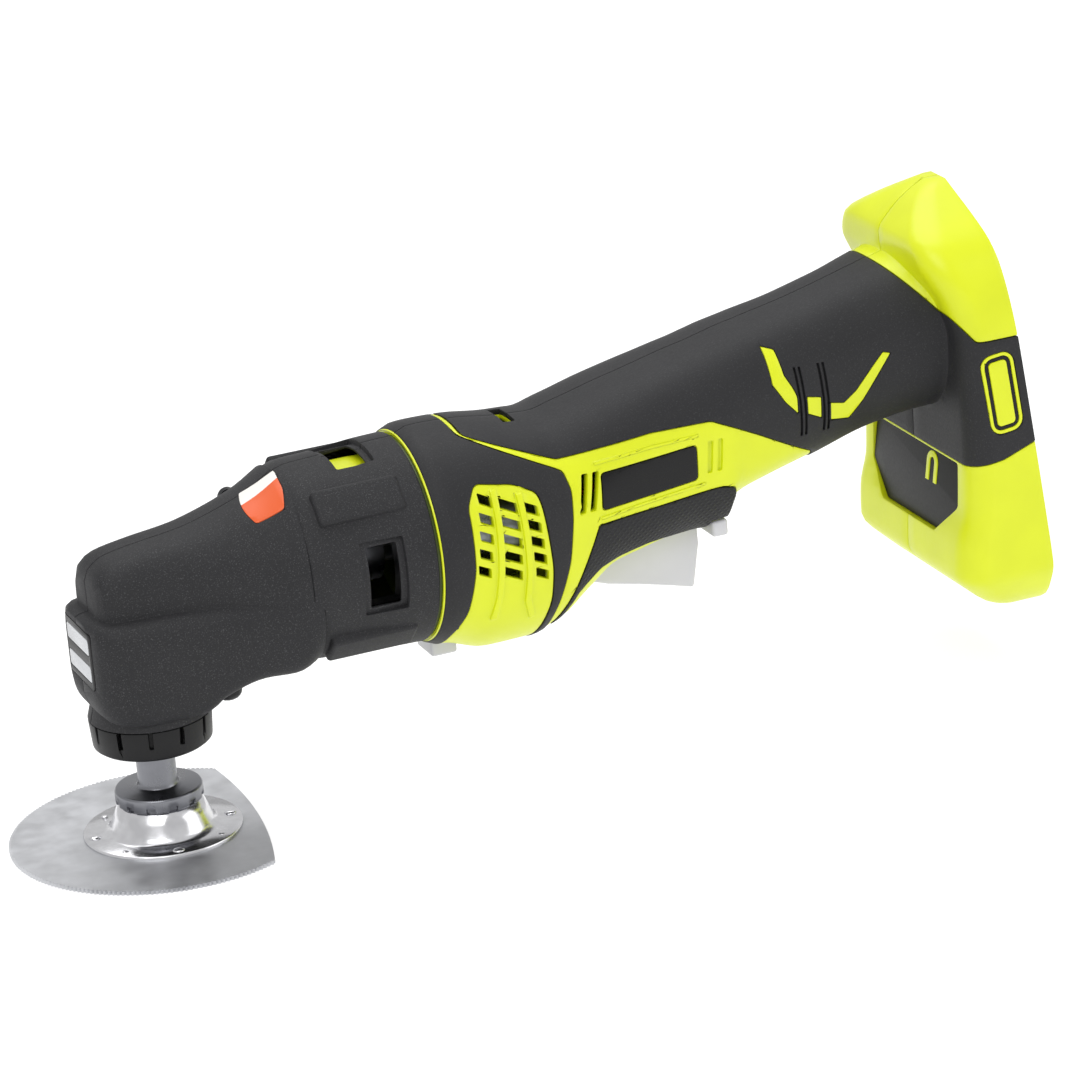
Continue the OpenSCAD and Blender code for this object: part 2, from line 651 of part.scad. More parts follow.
module rubber_pockets(side) difference() {
    union() {
        collar_region(side, bond);
        side_prism(guard_outline, side, bond);
        side_prism(grip_outline, side, bond);
    }
    body_core(skin_t + bond);
}

module collar_region(side, grow) difference() {
    side_prism(collar_outline, side, grow);
    side_prism(vent_outline, side, -grow);
}

module housing(side) color("#d9ea2a") in_body() difference() {
    body_solid();
    difference() {
        body_cavity();
        body_bosses(side);
    }
    rubber_pockets(side);
    vent_slots(side);
    cooling_slots(side);
    under_cuts();
    tray_pocket(0.1);
    badge_pocket(side);
    screw_holes(body_screws);
    cross_rod(trigger_x, trigger_z, pin_r + 0.06, -pin_half_len, pin_half_len, $fn = hole_sides);
    half_space(-side);
}

module left_housing() housing(left);
module right_housing() housing(right);

module badge_pocket(side) difference() {
    side_prism(badge_outline, side, bond);
    body_core(1 + bond);
}

// Rubber over one region of the body, on one side.
module rubber(side) color("#38383a") in_body() difference() {
    intersection() {
        body_solid();
        children();
    }
    body_core(skin_t);
    under_cuts();
    tray_pocket(0.1);
    screw_holes(body_screws);
    half_space(-side);
}

module collar_rubber(side) rubber(side) collar_region(side, 0);
module collar_rubber_left() collar_rubber(left);
module collar_rubber_right() collar_rubber(right);

module guard_rubber(side) rubber(side) side_prism(guard_outline, side);
module guard_rubber_left() guard_rubber(left);
module guard_rubber_right() guard_rubber(right);

module inlay_plates(side, grow) difference() {
    for (outline = inlay_outlines)
        side_prism([for (p = outline) [p[0] + grip_start, p[1]]], side, grow);
    body_core(0.9 + grow);
}

module foot_badge_plates(side, grow) difference() {
    at_rear() translate([-13.2 - grow, side == left ? -60 : 0, -27.7 - grow])
        cube([10.4 + 2 * grow, 60, 24.4 + 2 * grow]);
    body_core(0.9 + grow);
}

module grip_rubber(side) difference() {
    rubber(side) side_prism(grip_outline, side);
    in_body() inlay_plates(side, bond);
    in_body() foot_badge_plates(side, bond);
}
module grip_rubber_left() grip_rubber(left);
module grip_rubber_right() grip_rubber(right);

module grip_inlays() color("#d9ea2a") in_body() intersection() {
    body_solid();
    union() {
        inlay_plates(left, 0);
        inlay_plates(right, 0);
    }
}

module foot_badges() color("#cfe02a") in_body() intersection() {
    body_solid();
    union() {
        foot_badge_plates(left, 0);
        foot_badge_plates(right, 0);
    }
}

module side_badges() color("#0f0f10") in_body() intersection() {
    body_solid();
    union() for (side = [left, right]) difference() {
        side_prism(badge_outline, side);
        body_core(1);
    }
}

// --- Parts inside the body --------------------------------------------------

// Green sleeve that carries the head, with dark side openings and a slot for the release hook.
module head_spigot() color("#d9ea2a") in_body() difference() {
    union() {
        rod(spigot_r, -spigot_len, 4.5);
        rod(joint_r - 1, -0.9, -0.1);
        rod(joint_r - wall - 0.1, -0.2, 4.5);
    }
    rod(spigot_bore_r, -spigot_len - 1, 6);
    translate([-head_len + window_x - window_len / 2 - 1, -40, -9.5]) cube([window_len + 2, 80, 19]);
    translate([-18, -6.6, -26.4]) cube([30, 13.2, 8 + release_travel]);
    translate([2, -6.6, -32]) cube([10, 13.2, 12]);
}

module release_button() color("#bfc1c3") in_body() {
    translate([release_x, -release_half_w, -36.6]) cube([release_len, 2 * release_half_w, 14.4]);
    translate([-15, -4, -25.2]) cube([release_x + 15, 8, 3]);
}

module switch_module() color("#232325") in_body() difference() {
    translate([68, -9, -3]) cube([24, 18, 19]);
    translate([plunger_x, 0, -4]) cylinder(r = plunger_r + 0.1, h = plunger_top + plunger_travel + 4.5);
}

module switch_plunger() color("#d6d8da") in_body() translate([plunger_x, 0, plunger_z]) {
    cylinder(r1 = 1.6, r2 = plunger_r, h = 1);
    translate([0, 0, 1]) cylinder(r = plunger_r, h = plunger_len - 1);
}

module trigger() color("#cfcfd1") in_body() difference() {
    translate([trigger_x, trigger_w / 2, trigger_z]) rotate([90, 0, 0]) linear_extrude(trigger_w)
        polygon([[-2.4, -7.5], [-2.4, 3], [trigger_len, 3], [trigger_len + 0.2, -4],
            [trigger_len - 2.3, -17.4], [trigger_len - 9.3, -15.5], [trigger_len - 19.3, -13],
            [trigger_len - 29.3, -10.5]]);
    cross_rod(trigger_x, trigger_z, pin_r + fit, -20, 20);
}

module trigger_pin() color("#a4a7aa") in_body()
    cross_rod(trigger_x, trigger_z, pin_r, 0.05 - pin_half_len, pin_half_len - 0.05);

// Points of one ring of the spring's wire, part-way t along the coil.
function spring_ring(t) = let (turn = 360 * spring_turns * t)
    [for (a = [0 : 60 : 300])
        [(3 + 0.45 * cos(a)) * cos(turn), (3 + 0.45 * cos(a)) * sin(turn), spring_h * t + 0.45 * sin(a)]];

module trigger_spring() color("#b7babd") in_body() translate([trigger_x + 18, 0, trigger_z + 3.5]) {
    rings = 48;
    points = [for (i = [0 : rings], p = spring_ring(i / rings)) p];
    polyhedron(points, concat(
        [[5, 4, 3, 2, 1, 0]], [[for (k = [0 : 5]) 6 * rings + k]],
        [for (i = [0 : rings - 1], k = [0 : 5])
            [6 * i + k, 6 * i + (k + 1) % 6, 6 * i + 6 + (k + 1) % 6, 6 * i + 6 + k]]));
}

module lock_button() color("#b9bbbd") in_body()
    translate([lock_x, -lock_half_w, -18.4]) cube([lock_len, 2 * lock_half_w, 7.6]);

// --- Battery foot -----------------------------------------------------------

module stem_outline(grow) {
    r = 5 + grow;
    for (y = [-1, 1], z = [-1, 1])
        translate([y * (stem_w / 2 - 5), stem_z + z * (stem_h / 2 - 5)]) circle(r);
    translate([-stem_w / 2 - grow, stem_z - stem_h / 2 + 5]) square([stem_w + 2 * grow, stem_h - 10]);
    translate([5 - stem_w / 2, stem_z - stem_h / 2 - grow]) square([stem_w - 10, stem_h + 2 * grow]);
}

// An outline across the foot, extruded from x0 to x1 along the rear rim's normal.
module across_rear(x0, x1) at_rear() translate([x0, 0, 0]) rotate([90, 0, 90])
    linear_extrude(x1 - x0) children();

module battery_socket() color("#1b1b1d") in_body() difference() {
    across_rear(-stem_depth - 2, -4.2) stem_outline(2);
    across_rear(-stem_depth, 1) stem_outline(0);
}

module battery_tray() color("#202022") in_body() difference() {
    union() {
        at_rear() translate([-4, 0, 1]) rod(tray_r, 0, 2.5);
        across_rear(-4, -1.5)
            polygon([[-tray_r, 5], [tray_r, 5], [tray_r, -71], [tray_r - 4, -79], [tray_r - 13, -83.5],
                [13 - tray_r, -83.5], [4 - tray_r, -79], [-tray_r, -71]]);
    }
    across_rear(-6, 1) stem_outline(0);
    for (y = [-24, 24]) across_rear(-6, 1) translate([y - 4, -30]) square([8, 16]);
    across_rear(-6, 1) translate([-18, -74]) square([36, 22]);
}

module battery_contacts() color("#c79a4e") in_body() for (y = [-6, 0, 6])
    at_rear() translate([-stem_depth, y - 0.5, stem_z - 5]) cube([9, 1, 10]);

module panel_place() translate([grip_end + 0.2, 0, -4.8]) rotate([0, tray_slope, 0])
    rotate([90, 0, 90]) children();

module tray_pocket(grow) panel_place() translate([0, 0, -9]) linear_extrude(15)
    offset(delta = grow) polygon(tray_outline);

module magnet_tray() color("#29292b") in_body() panel_place() linear_extrude(1.8) polygon(tray_outline);

module tray_magnet() color("#c8cacc") in_body() panel_place() translate([-12, -18, 1.8])
    cube([24, 10, 3]);

module housing_screws() color("#3f4245") in_body() for (s = body_screws) screw(s[0], s[1]);

module wire(a, b) {
    d = b - a;
    translate(a) rotate([0, acos(d[2] / norm(d)), atan2(d[1], d[0])]) cylinder(r = 1.1, h = norm(d));
}

module lead_wires() color("#b3261e") in_body() for (y = [-4, 4]) {
    wire([92.3, y, 10], [foot_x - stem_depth - 3.4, y, foot_z - 8.6]);
    wire([67.7, y, 5], [motor_end + 4.6, 2.4 * y, 5]);
}

head_left();
head_right();
front_trim();
front_strips();
label_plate();
nose_ring();
spindle_seal();
gear_case();
lower_bearing();
upper_bearing();
input_bearing();
head_screws();
spindle();
rocker_fork();
blade();
blade_hub();
hub_rivets();
clamp_washer();
clamp_bolt();
eccentric_shaft();
eccentric_bearing();
counterweight();
drive_socket();
rotor_shaft();
armature();
commutator();
cooling_fan();
drive_dog();
left_housing();
right_housing();
collar_rubber_left();
collar_rubber_right();
grip_rubber_left();
grip_rubber_right();
guard_rubber_left();
guard_rubber_right();
head_spigot();
motor_can();
field_magnets();
front_motor_bearing();
rear_motor_bearing();
carbon_brushes();
switch_module();
battery_socket();
battery_tray();
battery_contacts();
side_badges();
foot_badges();
grip_inlays();
magnet_tray();
tray_magnet();
housing_screws();
trigger_pin();
lead_wires();
trigger();
trigger_spring();
switch_plunger();
lock_button();
release_button();
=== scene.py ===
"""Looks of a cordless oscillating multi tool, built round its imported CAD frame.

Shapes are worked out in millimetres in the frame's own axes and turned to metres when a piece is finished.
"""

import math

import bmesh
import bpy
from mathutils import Matrix, Vector


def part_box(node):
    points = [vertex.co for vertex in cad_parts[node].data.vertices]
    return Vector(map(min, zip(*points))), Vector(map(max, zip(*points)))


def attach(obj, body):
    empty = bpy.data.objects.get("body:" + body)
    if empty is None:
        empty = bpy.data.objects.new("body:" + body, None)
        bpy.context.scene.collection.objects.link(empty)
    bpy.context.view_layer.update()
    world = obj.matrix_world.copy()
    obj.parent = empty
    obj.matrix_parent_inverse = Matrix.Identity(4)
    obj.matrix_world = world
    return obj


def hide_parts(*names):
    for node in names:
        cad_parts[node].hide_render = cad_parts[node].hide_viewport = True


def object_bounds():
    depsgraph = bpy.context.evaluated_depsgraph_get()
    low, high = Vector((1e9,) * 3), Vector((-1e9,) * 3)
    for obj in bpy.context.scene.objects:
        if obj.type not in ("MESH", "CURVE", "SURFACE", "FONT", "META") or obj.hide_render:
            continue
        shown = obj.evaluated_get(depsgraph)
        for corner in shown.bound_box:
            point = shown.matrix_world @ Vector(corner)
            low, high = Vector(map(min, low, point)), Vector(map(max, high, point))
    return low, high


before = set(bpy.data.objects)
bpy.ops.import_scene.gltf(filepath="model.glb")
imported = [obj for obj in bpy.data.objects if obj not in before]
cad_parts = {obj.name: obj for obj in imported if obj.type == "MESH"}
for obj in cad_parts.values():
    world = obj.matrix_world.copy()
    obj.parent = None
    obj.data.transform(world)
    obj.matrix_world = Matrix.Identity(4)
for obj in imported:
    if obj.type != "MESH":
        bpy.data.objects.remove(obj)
cad_low, cad_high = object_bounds()

MM = 0.001


def node_box(name):
    """Lowest and highest corner of a CAD node, in millimetres."""
    low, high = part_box(name)
    return Vector(low) / MM, Vector(high) / MM


# --- Sizes, in millimetres ---------------------------------------------------

joint_x = node_box("left_housing")[0].x             # plane where the head meets the body
axis_z = sum(node_box("motor_can"), Vector()).z / 2  # height of the motor's axis
joint_r = 31.0
body_w = 53.0
grip_w = 45.0
grip_h = 47.0
grip_start = 97.8
grip_len = 67.0
grip_end = grip_start + grip_len
foot_half_w = 38.5
foot_tilt = math.radians(6)
foot_x = grip_end + 16
foot_z = 34.2
wall = 2.8
skin_t = 1.4
proud = 0.3        # the rubber stands this far above the plastic
gap = 0.12         # half of the shadow gap round an insert
seam = 0.09        # half of the gap between the two halves of a shell
edge_r = 0.28      # rounding of moulded edges
RING = 144         # points round a lofted section
STEP = 2.2         # spacing of lofted sections
FAR = 120.0

# Sections of the body: [behind the joint, middle, half width, above, below, squareness].
body_sections = [
    [0, 0, joint_r, joint_r, joint_r, 2],
    [3.3, 0, joint_r + 1.3, joint_r + 1.3, joint_r + 1.3, 2],
    [6.8, 0, joint_r + 1.5, joint_r + 1.5, joint_r + 2, 2],
    [17.8, 0, joint_r + 1, joint_r + 0.9, joint_r + 5.3, 2.1],
    [30.8, 0, joint_r - 0.5, joint_r - 1, joint_r + 5, 2.2],
    [39.8, 0, joint_r - 2, joint_r - 1.7, joint_r + 1.8, 2.3],
    [48.8, 3.6, body_w / 2 + 1, joint_r - 3.6, joint_r - 1.4, 2.4],
    [58.8, 7.6, body_w / 2, joint_r - 5.2, joint_r - 4.6, 2.5],
    [70.8, 10.6, body_w / 2 - 1, joint_r - 5.5, joint_r - 4.5, 2.6],
    [83.8, 14.1, body_w / 2 - 2, joint_r - 6, joint_r - 2.3, 2.5],
    [94.8, 17.1, body_w / 2 - 2.5, joint_r - 6.7, joint_r + 0.3, 2.5],
    [grip_start, 19.1, grip_w / 2 + 1, grip_h / 2 - 0.5, grip_h / 2 + 3, 2.5],
    [grip_start + 0.16 * grip_len, 21.6, grip_w / 2 + 0.5, grip_h / 2 - 0.8, grip_h / 2 + 1.7, 2.5],
    [grip_start + 0.39 * grip_len, 24.6, grip_w / 2, grip_h / 2 - 0.8, grip_h / 2 + 1, 2.4],
    [grip_start + 0.61 * grip_len, 28.6, grip_w / 2, grip_h / 2 - 1.2, grip_h / 2 + 0.7, 2.4],
    [grip_start + 0.79 * grip_len, 31.6, grip_w / 2 + 1.5, grip_h / 2 - 1, grip_h / 2 + 1, 2.5],
    [grip_end + 7.2, 36, grip_w / 2 + 5.5, grip_h / 2 + 1.5, grip_h / 2 + 3.5, 2.6]]

# Level slices of the foot: [height, front behind the grip's end, half width, corner radius].
foot_levels = [
    [-56.2, 20, foot_half_w - 24.5, 3],
    [-54.4, 14, foot_half_w - 17.5, 5],
    [-50.4, 7, foot_half_w - 9, 6],
    [-45.4, 1, foot_half_w - 4.5, 7],
    [-37.4, -5.5, foot_half_w - 0.3, 8],
    [-28.4, -5, foot_half_w, 8],
    [-17.4, -2, foot_half_w, 7],
    [7.6, -1, foot_half_w - 0.3, 7],
    [34.6, -1, foot_half_w - 0.9, 8],
    [45.6, -4, foot_half_w - 2.4, 9],
    [55.6, -8.5, foot_half_w - 5.5, 9],
    [61.6, -9, foot_half_w - 10, 8],
    [67.6, -4.5, foot_half_w - 19.5, 7],
    [71.6, 0.5, foot_half_w - 27.5, 5],
    [74.9, 6.5, foot_half_w - 34, 3]]

# Sections of the head's lower block, dome and collar, from the spindle's axis.
head_half_w = 21.5
dome_z = 60.2
head_block = [
    [-18.6, 48, 10.5, 11.5, 11, 5],
    [-17.2, 47, 15, 13.2, 14.5, 5],
    [-13, 46, head_half_w - 2.7, 14.6, 17, 5],
    [-5, 45.5, head_half_w - 0.8, 15.1, 18.2, 5],
    [12, 45.5, head_half_w, 15.4, 17.6, 5],
    [17, 46.5, head_half_w + 0.8, 14.5, 14.9, 5],
    [27, 48, head_half_w + 2.3, 13.2, 13, 4.5],
    [38, 50, head_half_w + 4.6, 12.4, 15.2, 4],
    [joint_x - 35.2, axis_z - 4, joint_r - 3, 16, 23, 2.6]]
head_dome = [
    [-14.6, dome_z, 10, axis_z - 53, 8, 4],
    [-13.4, dome_z, 12, axis_z - 50, 8, 4],
    [-9, dome_z, 13.5, axis_z - 46.9, 8, 3.6],
    [0, dome_z, 14.5, axis_z - 45.2, 8, 3.4],
    [14, dome_z, 17, axis_z - 43.4, 8, 2.9],
    [26, dome_z, 20.5, axis_z - 40.2, 8, 2.5],
    [36, dome_z, 24.5, axis_z - 36.4, 9, 2.3],
    [joint_x - 37.7, dome_z, 27.5, axis_z - 32, 12, 2.2]]
head_collar = [
    [joint_x - 39.5, axis_z, joint_r - 4.7, joint_r - 4, joint_r - 4.7, 2],
    [joint_x - 34, axis_z, joint_r - 2, joint_r - 2, joint_r - 2, 2],
    [joint_x - 21, axis_z, joint_r - 1.4, joint_r - 1.4, joint_r - 1.4, 2],
    [joint_x - 9, axis_z, joint_r - 0.5, joint_r - 0.5, joint_r - 0.5, 2],
    [joint_x - 1.2, axis_z, joint_r - 0.3, joint_r - 0.3, joint_r - 0.3, 2]]

# Side outlines: [behind the joint, above the motor's axis].
collar_outline = [
    [0.2, 45], [13, 45], [14.6, 30.6], [24.6, 25.9], [38.6, 19.3], [41, 18], [42.2, 12.7],
    [41.4, 4.4], [39.6, -7.7], [37.4, -16.9], [35.2, -27], [33.4, -45], [0.2, -45]]
vent_outline = [
    [13.3, 20.3], [24.7, 18.1], [31.3, 14.6], [32.2, 10.9], [33.9, -8.3], [33.7, -19],
    [31, -34], [29, -50], [2, -50], [4, -25.5], [7.2, -16.6], [9.2, -2.9], [9.8, 14.9]]
guard_outline = [
    [49.9, 0.5], [89.8, 2.4], [95, 1.2], [96.6, -2], [94.6, -12.6], [88, -13.4], [68.7, -11.2],
    [51.1, -14], [43.6, -19.8], [41.2, -24.5], [38.6, -31], [36.4, -31], [43.4, -14.5]]
grip_outline = [
    [15.4, 60], [16, 30.4], [25.7, 26.6], [40.3, 21.1], [44.4, 21.3], [69.1, 23.5], [88.2, 23.1],
    [grip_start - 2.3, 19.6], [grip_start + 5.7, 15.5], [grip_start + 25, 4.6],
    [grip_start + 29, -12], [grip_end - 3, -3.9], [grip_end + 9, -2.4],
    [grip_end + 30, 5], [grip_end + 30, 34.2], [grip_end + 3, 34.2], [grip_end - 2.4, 41.6],
    [grip_end - 14.6, 56], [grip_end - 18, 66]]
badge_outline = [[52, 15.4], [82.8, 17.2], [82.6, 6.6], [51.2, 4.6]]
inlay_outlines = [
    [[10.5, 39.8], [13.9, 38.6], [15, 31.5], [17.6, 26.6], [18.4, 24.4], [18.4, 19.4],
     [14.6, 23.6], [11, 29.5]],
    [[21.6, 23.8], [26, 22.8], [26, 16.4], [21.6, 18.6]],
    [[29, 20.4], [33.4, 19.4], [37.4, 22.4], [46.4, 32.6], [48.6, 32], [39.6, 18.8], [35.4, 14],
     [29, 15]]]
tray_outline = [[-28, 0], [28, 0], [28, -13.4], [17, -23.4], [-17, -23.4], [-28, -13.4]]
body_screws = [[47.2, 24.1], [28.2, -28.2], [96.8, 4], [grip_start + 12, 33],
               [grip_end + 8, -36.5], [grip_end + 4.5, 57]]
head_screws = [[-12.4, axis_z - 5.4], [22, 43.5], [joint_x - 34.3, axis_z - 18.6],
               [34, axis_z + 17.9]]


# --- Solids ------------------------------------------------------------------

def solid(bm, name="solid"):
    """A closed mesh object made from a bmesh, with its faces outwards."""
    bmesh.ops.recalc_face_normals(bm, faces=bm.faces)
    mesh = bpy.data.meshes.new(name)
    bm.to_mesh(mesh)
    bm.free()
    made = bpy.data.objects.new(name, mesh)
    bpy.context.scene.collection.objects.link(made)
    return made


def drop(*objects):
    for one in objects:
        bpy.data.objects.remove(one)


def copied(source):
    twin = source.copy()
    twin.data = source.data.copy()
    bpy.context.scene.collection.objects.link(twin)
    return twin


def applied(piece):
    """Turns a piece's modifiers into its mesh."""
    graph = bpy.context.evaluated_depsgraph_get()
    mesh = bpy.data.meshes.new_from_object(piece.evaluated_get(graph))
    piece.modifiers.clear()
    piece.data = mesh
    return piece


def combine(piece, tools, operation):
    """Cuts, joins or keeps the piece with each tool in turn, and drops the tools."""
    for tool in tools:
        step = piece.modifiers.new("step", "BOOLEAN")
        step.operation = operation
        step.solver = "MANIFOLD"
        step.object = tool
        applied(piece)
    drop(*tools)
    return piece


def cut(piece, *tools):
    return combine(piece, tools, "DIFFERENCE")


def join(piece, *tools):
    return combine(piece, tools, "UNION")


def keep(piece, *tools):
    return combine(piece, tools, "INTERSECT")


def eased(rows, step=STEP):
    """The rows joined by curves that never overshoot, about one row every step."""
    places = [row[0] for row in rows]
    spans = [b - a for a, b in zip(places, places[1:])]
    curves = []
    for column in list(zip(*rows))[1:]:
        rises = [(b - a) / span for a, b, span in zip(column, column[1:], spans)]
        slopes = [rises[0]]
        for before, after in zip(rises, rises[1:]):
            slopes.append(2 * before * after / (before + after) if before * after > 0 else 0)
        curves.append((column, slopes + [rises[-1]]))
    smooth = []
    for k, span in enumerate(spans):
        parts = max(1, round(abs(span) / step))
        for j in range(parts):
            t = j / parts
            near, lean_in = (1 + 2 * t) * (1 - t) ** 2, t * (1 - t) ** 2
            far, lean_out = t * t * (3 - 2 * t), t * t * (t - 1)
            smooth.append([places[k] + t * span] + [
                near * c[k] + far * c[k + 1] + span * (lean_in * m[k] + lean_out * m[k + 1])
                for c, m in curves])
    return smooth + [list(rows[-1])]


def skin_rings(rings):
    """A closed shell over rings that have the same number of points."""
    bm = bmesh.new()
    before = None
    for points in rings:
        ring = bmesh.ops.create_circle(bm, segments=len(points), radius=1.0)["verts"]
        for vert, point in zip(ring, points):
            vert.co = point
        edges = {edge for vert in ring for edge in vert.link_edges}
        if before:
            bmesh.ops.bridge_loops(bm, edges=list(before | edges))
        before = edges
    bmesh.ops.holes_fill(bm, edges=[edge for edge in bm.edges if edge.is_boundary])
    return solid(bm)


def section_ring(row, grow, x0, z0):
    """Points of a squared-off oval that stands across the X axis."""
    x, middle, half, above, below, square = row
    points = []
    for i in range(RING):
        turn = math.tau * i / RING
        across, up = math.cos(turn), math.sin(turn)
        tall = (above if up >= 0 else below) + grow
        reach = abs(across / (half + grow)) ** square + abs(up / tall) ** square
        r = reach ** (-1 / square)
        points.append(Vector((x0 + x, r * across, z0 + middle + r * up)))
    return points


def loft(rows, grow=0.0, x0=0.0, z0=0.0):
    return skin_rings([section_ring(row, grow, x0, z0) for row in eased(rows)])


def foot_ring(row, grow, past):
    """Points of a level slice of the foot: round front corners, straight rear edge."""
    height, front, half, corner_r = row
    half += grow
    r = max(corner_r + grow, 0.8)
    front_x = joint_x + grip_end + front - grow
    rear_x = joint_x + foot_x + (foot_z - height) * math.tan(foot_tilt) + past
    lift = max(0, height - 40) / 34.9 - max(0, -height - 40) / 16.2
    z = axis_z + height + grow * lift
    run = [(rear_x, half * i / 4) for i in range(4)]
    run += [(rear_x + (front_x + r - rear_x) * i / 8, half) for i in range(8)]
    for i in range(13):
        turn = math.pi / 2 * i / 12
        run.append((front_x + r - r * math.sin(turn), half - r + r * math.cos(turn)))
    run += [(front_x, (half - r) * (1 - i / 6)) for i in range(1, 6)]
    mirror_run = [(x, -y) for x, y in reversed(run[1:])]
    return [Vector((x, y, z)) for x, y in run + [(front_x, 0.0)] + mirror_run]


def foot(grow=0.0, past=0.0):
    return skin_rings([foot_ring(row, grow, past) for row in eased(foot_levels)])


def body(grow=0.0, past=0.0):
    """The body's whole form, grown outwards or inwards, with its rear rim moved past the real one."""
    return join(loft(body_sections, grow, joint_x, axis_z), foot(grow, past))


def head(grow=0.0):
    return join(loft(head_block, grow), loft(head_dome, grow), loft(head_collar, grow))


def head_cavity(thick):
    """The space inside the head, which stops short of the front faces too."""
    block_space = keep(loft(head_block, -thick), box((head_block[0][0] + thick, -FAR, -9), (FAR, FAR, FAR)))
    dome_space = keep(loft(head_dome, -thick), box((head_dome[0][0] + thick, -FAR, -9), (FAR, FAR, FAR)))
    return join(block_space, dome_space, loft(head_collar, -thick))


def moved_edges(outline, grow):
    """An outline with its edges moved outwards by the same distance."""
    count = len(outline)
    area = sum(outline[i - 1][0] * outline[i][1] - outline[i][0] * outline[i - 1][1] for i in range(count))
    out = []
    for i in range(count):
        here = Vector(outline[i])
        before = (here - Vector(outline[i - 1])).normalized()
        after = (Vector(outline[(i + 1) % count]) - here).normalized()
        normal = Vector((before.y + after.y, -before.x - after.x)) * math.copysign(1, area)
        lean = max(1 + before.dot(after), 0.3)
        out.append(here + normal * grow / lean)
    return out


def flat_face(bm, outline, place, round_r):
    """A flat face on an outline, with its corners rounded."""
    verts = [bm.verts.new(place(*point)) for point in outline]
    bm.faces.new(verts)
    if round_r:
        bmesh.ops.bevel(bm, geom=verts, offset=round_r, segments=5, profile=0.5,
                        affect="VERTICES", material=-1, clamp_overlap=True)
    return bm.faces[:]


def block(outline, place, reach, grow=0.0, round_r=0.0):
    """An outline pushed through by a vector."""
    bm = bmesh.new()
    faces = flat_face(bm, moved_edges(outline, grow), place, round_r)
    pushed = bmesh.ops.extrude_face_region(bm, geom=faces)["geom"]
    verts = [item for item in pushed if isinstance(item, bmesh.types.BMVert)]
    bmesh.ops.translate(bm, verts=verts, vec=reach)
    return solid(bm)


def side_block(outline, grow=0.0, round_r=0.0, low=-FAR, high=FAR):
    """A side outline cut across the tool from y=low to y=high."""
    return block(outline, lambda u, h: Vector((joint_x + u, low, axis_z + h)),
                 Vector((0, high - low, 0)), grow, round_r)


def box(low, high, round_r=0.0):
    """A box between two corners, with its edges rounded."""
    low, high = Vector(low), Vector(high)
    bm = bmesh.new()
    bmesh.ops.create_cube(bm, size=1.0)
    bmesh.ops.scale(bm, verts=bm.verts, vec=high - low)
    bmesh.ops.translate(bm, verts=bm.verts, vec=(low + high) / 2)
    if round_r:
        bmesh.ops.bevel(bm, geom=bm.edges[:], offset=round_r, segments=4, profile=0.5,
                        affect="EDGES", material=-1)
    return solid(bm)


def rod(r, start, end, segments=64, r_end=None):
    """A cylinder or cone between two points."""
    start, end = Vector(start), Vector(end)
    bm = bmesh.new()
    bmesh.ops.create_cone(bm, cap_ends=True, segments=segments, radius1=r,
                          radius2=r if r_end is None else r_end, depth=(end - start).length)
    turn = Vector((0, 0, 1)).rotation_difference(end - start).to_matrix().to_4x4()
    bmesh.ops.transform(bm, matrix=Matrix.Translation((start + end) / 2) @ turn, verts=bm.verts)
    return solid(bm)


def turned(profile, segments=96):
    """A closed profile of [radius, height] spun round the spindle's axis."""
    bm = bmesh.new()
    verts = [bm.verts.new((r, 0, z)) for r, z in profile]
    edges = [bm.edges.new((verts[i - 1], verts[i])) for i in range(len(verts))]
    bmesh.ops.spin(bm, geom=verts + edges, axis=(0, 0, 1), cent=(0, 0, 0), angle=math.tau,
                   steps=segments, use_merge=True)
    bmesh.ops.remove_doubles(bm, verts=bm.verts, dist=1e-4)
    return solid(bm)


def placed(piece, matrix):
    piece.data.transform(matrix)
    return piece


def half(whole, side):
    """The part of a solid on one side of the seam: -1 is the tool's left."""
    near, far = sorted((side * seam, side * FAR))
    return keep(copied(whole), box((-FAR, near, -FAR), (4 * FAR, far, 3 * FAR)))


def rounded(piece, width=edge_r, segments=2, angle=38):
    """Merges slivers and rounds the piece's sharp edges."""
    bm = bmesh.new()
    bm.from_mesh(piece.data)
    bmesh.ops.remove_doubles(bm, verts=bm.verts, dist=0.03)
    bmesh.ops.dissolve_degenerate(bm, edges=bm.edges, dist=0.02)
    sharp = [e for e in bm.edges if len(e.link_faces) == 2 and e.calc_face_angle(0) > math.radians(angle)]
    bmesh.ops.bevel(bm, geom=sharp, offset=width, segments=segments, profile=0.5, affect="EDGES",
                    material=-1, clamp_overlap=False)
    bmesh.ops.remove_doubles(bm, verts=bm.verts, dist=0.005)
    bm.to_mesh(piece.data)
    bm.free()
    return piece


def finished(piece, name, body_name, finish, nodes=(), smooth=32):
    """Names a piece, turns it to metres, shades it and puts it on its body."""
    piece.name = name
    piece.data.name = name
    piece.data.transform(Matrix.Scale(MM, 4))
    for face in piece.data.polygons:
        face.use_smooth = True
    piece.data.set_sharp_from_angle(angle=math.radians(smooth))
    piece.data.materials.clear()
    piece.data.materials.append(finish)
    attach(piece, body_name)
    if nodes:
        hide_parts(*nodes)
    return piece


# --- Materials ---------------------------------------------------------------

def colour(hex_value, scale=1.0):
    """An sRGB hex colour as linear RGBA, times a brightness."""
    parts = [int(hex_value[i:i + 2], 16) / 255 for i in (0, 2, 4)]
    linear = [p / 12.92 if p <= 0.04045 else ((p + 0.055) / 1.055) ** 2.4 for p in parts]
    return [min(p * scale, 1.0) for p in linear] + [1.0]


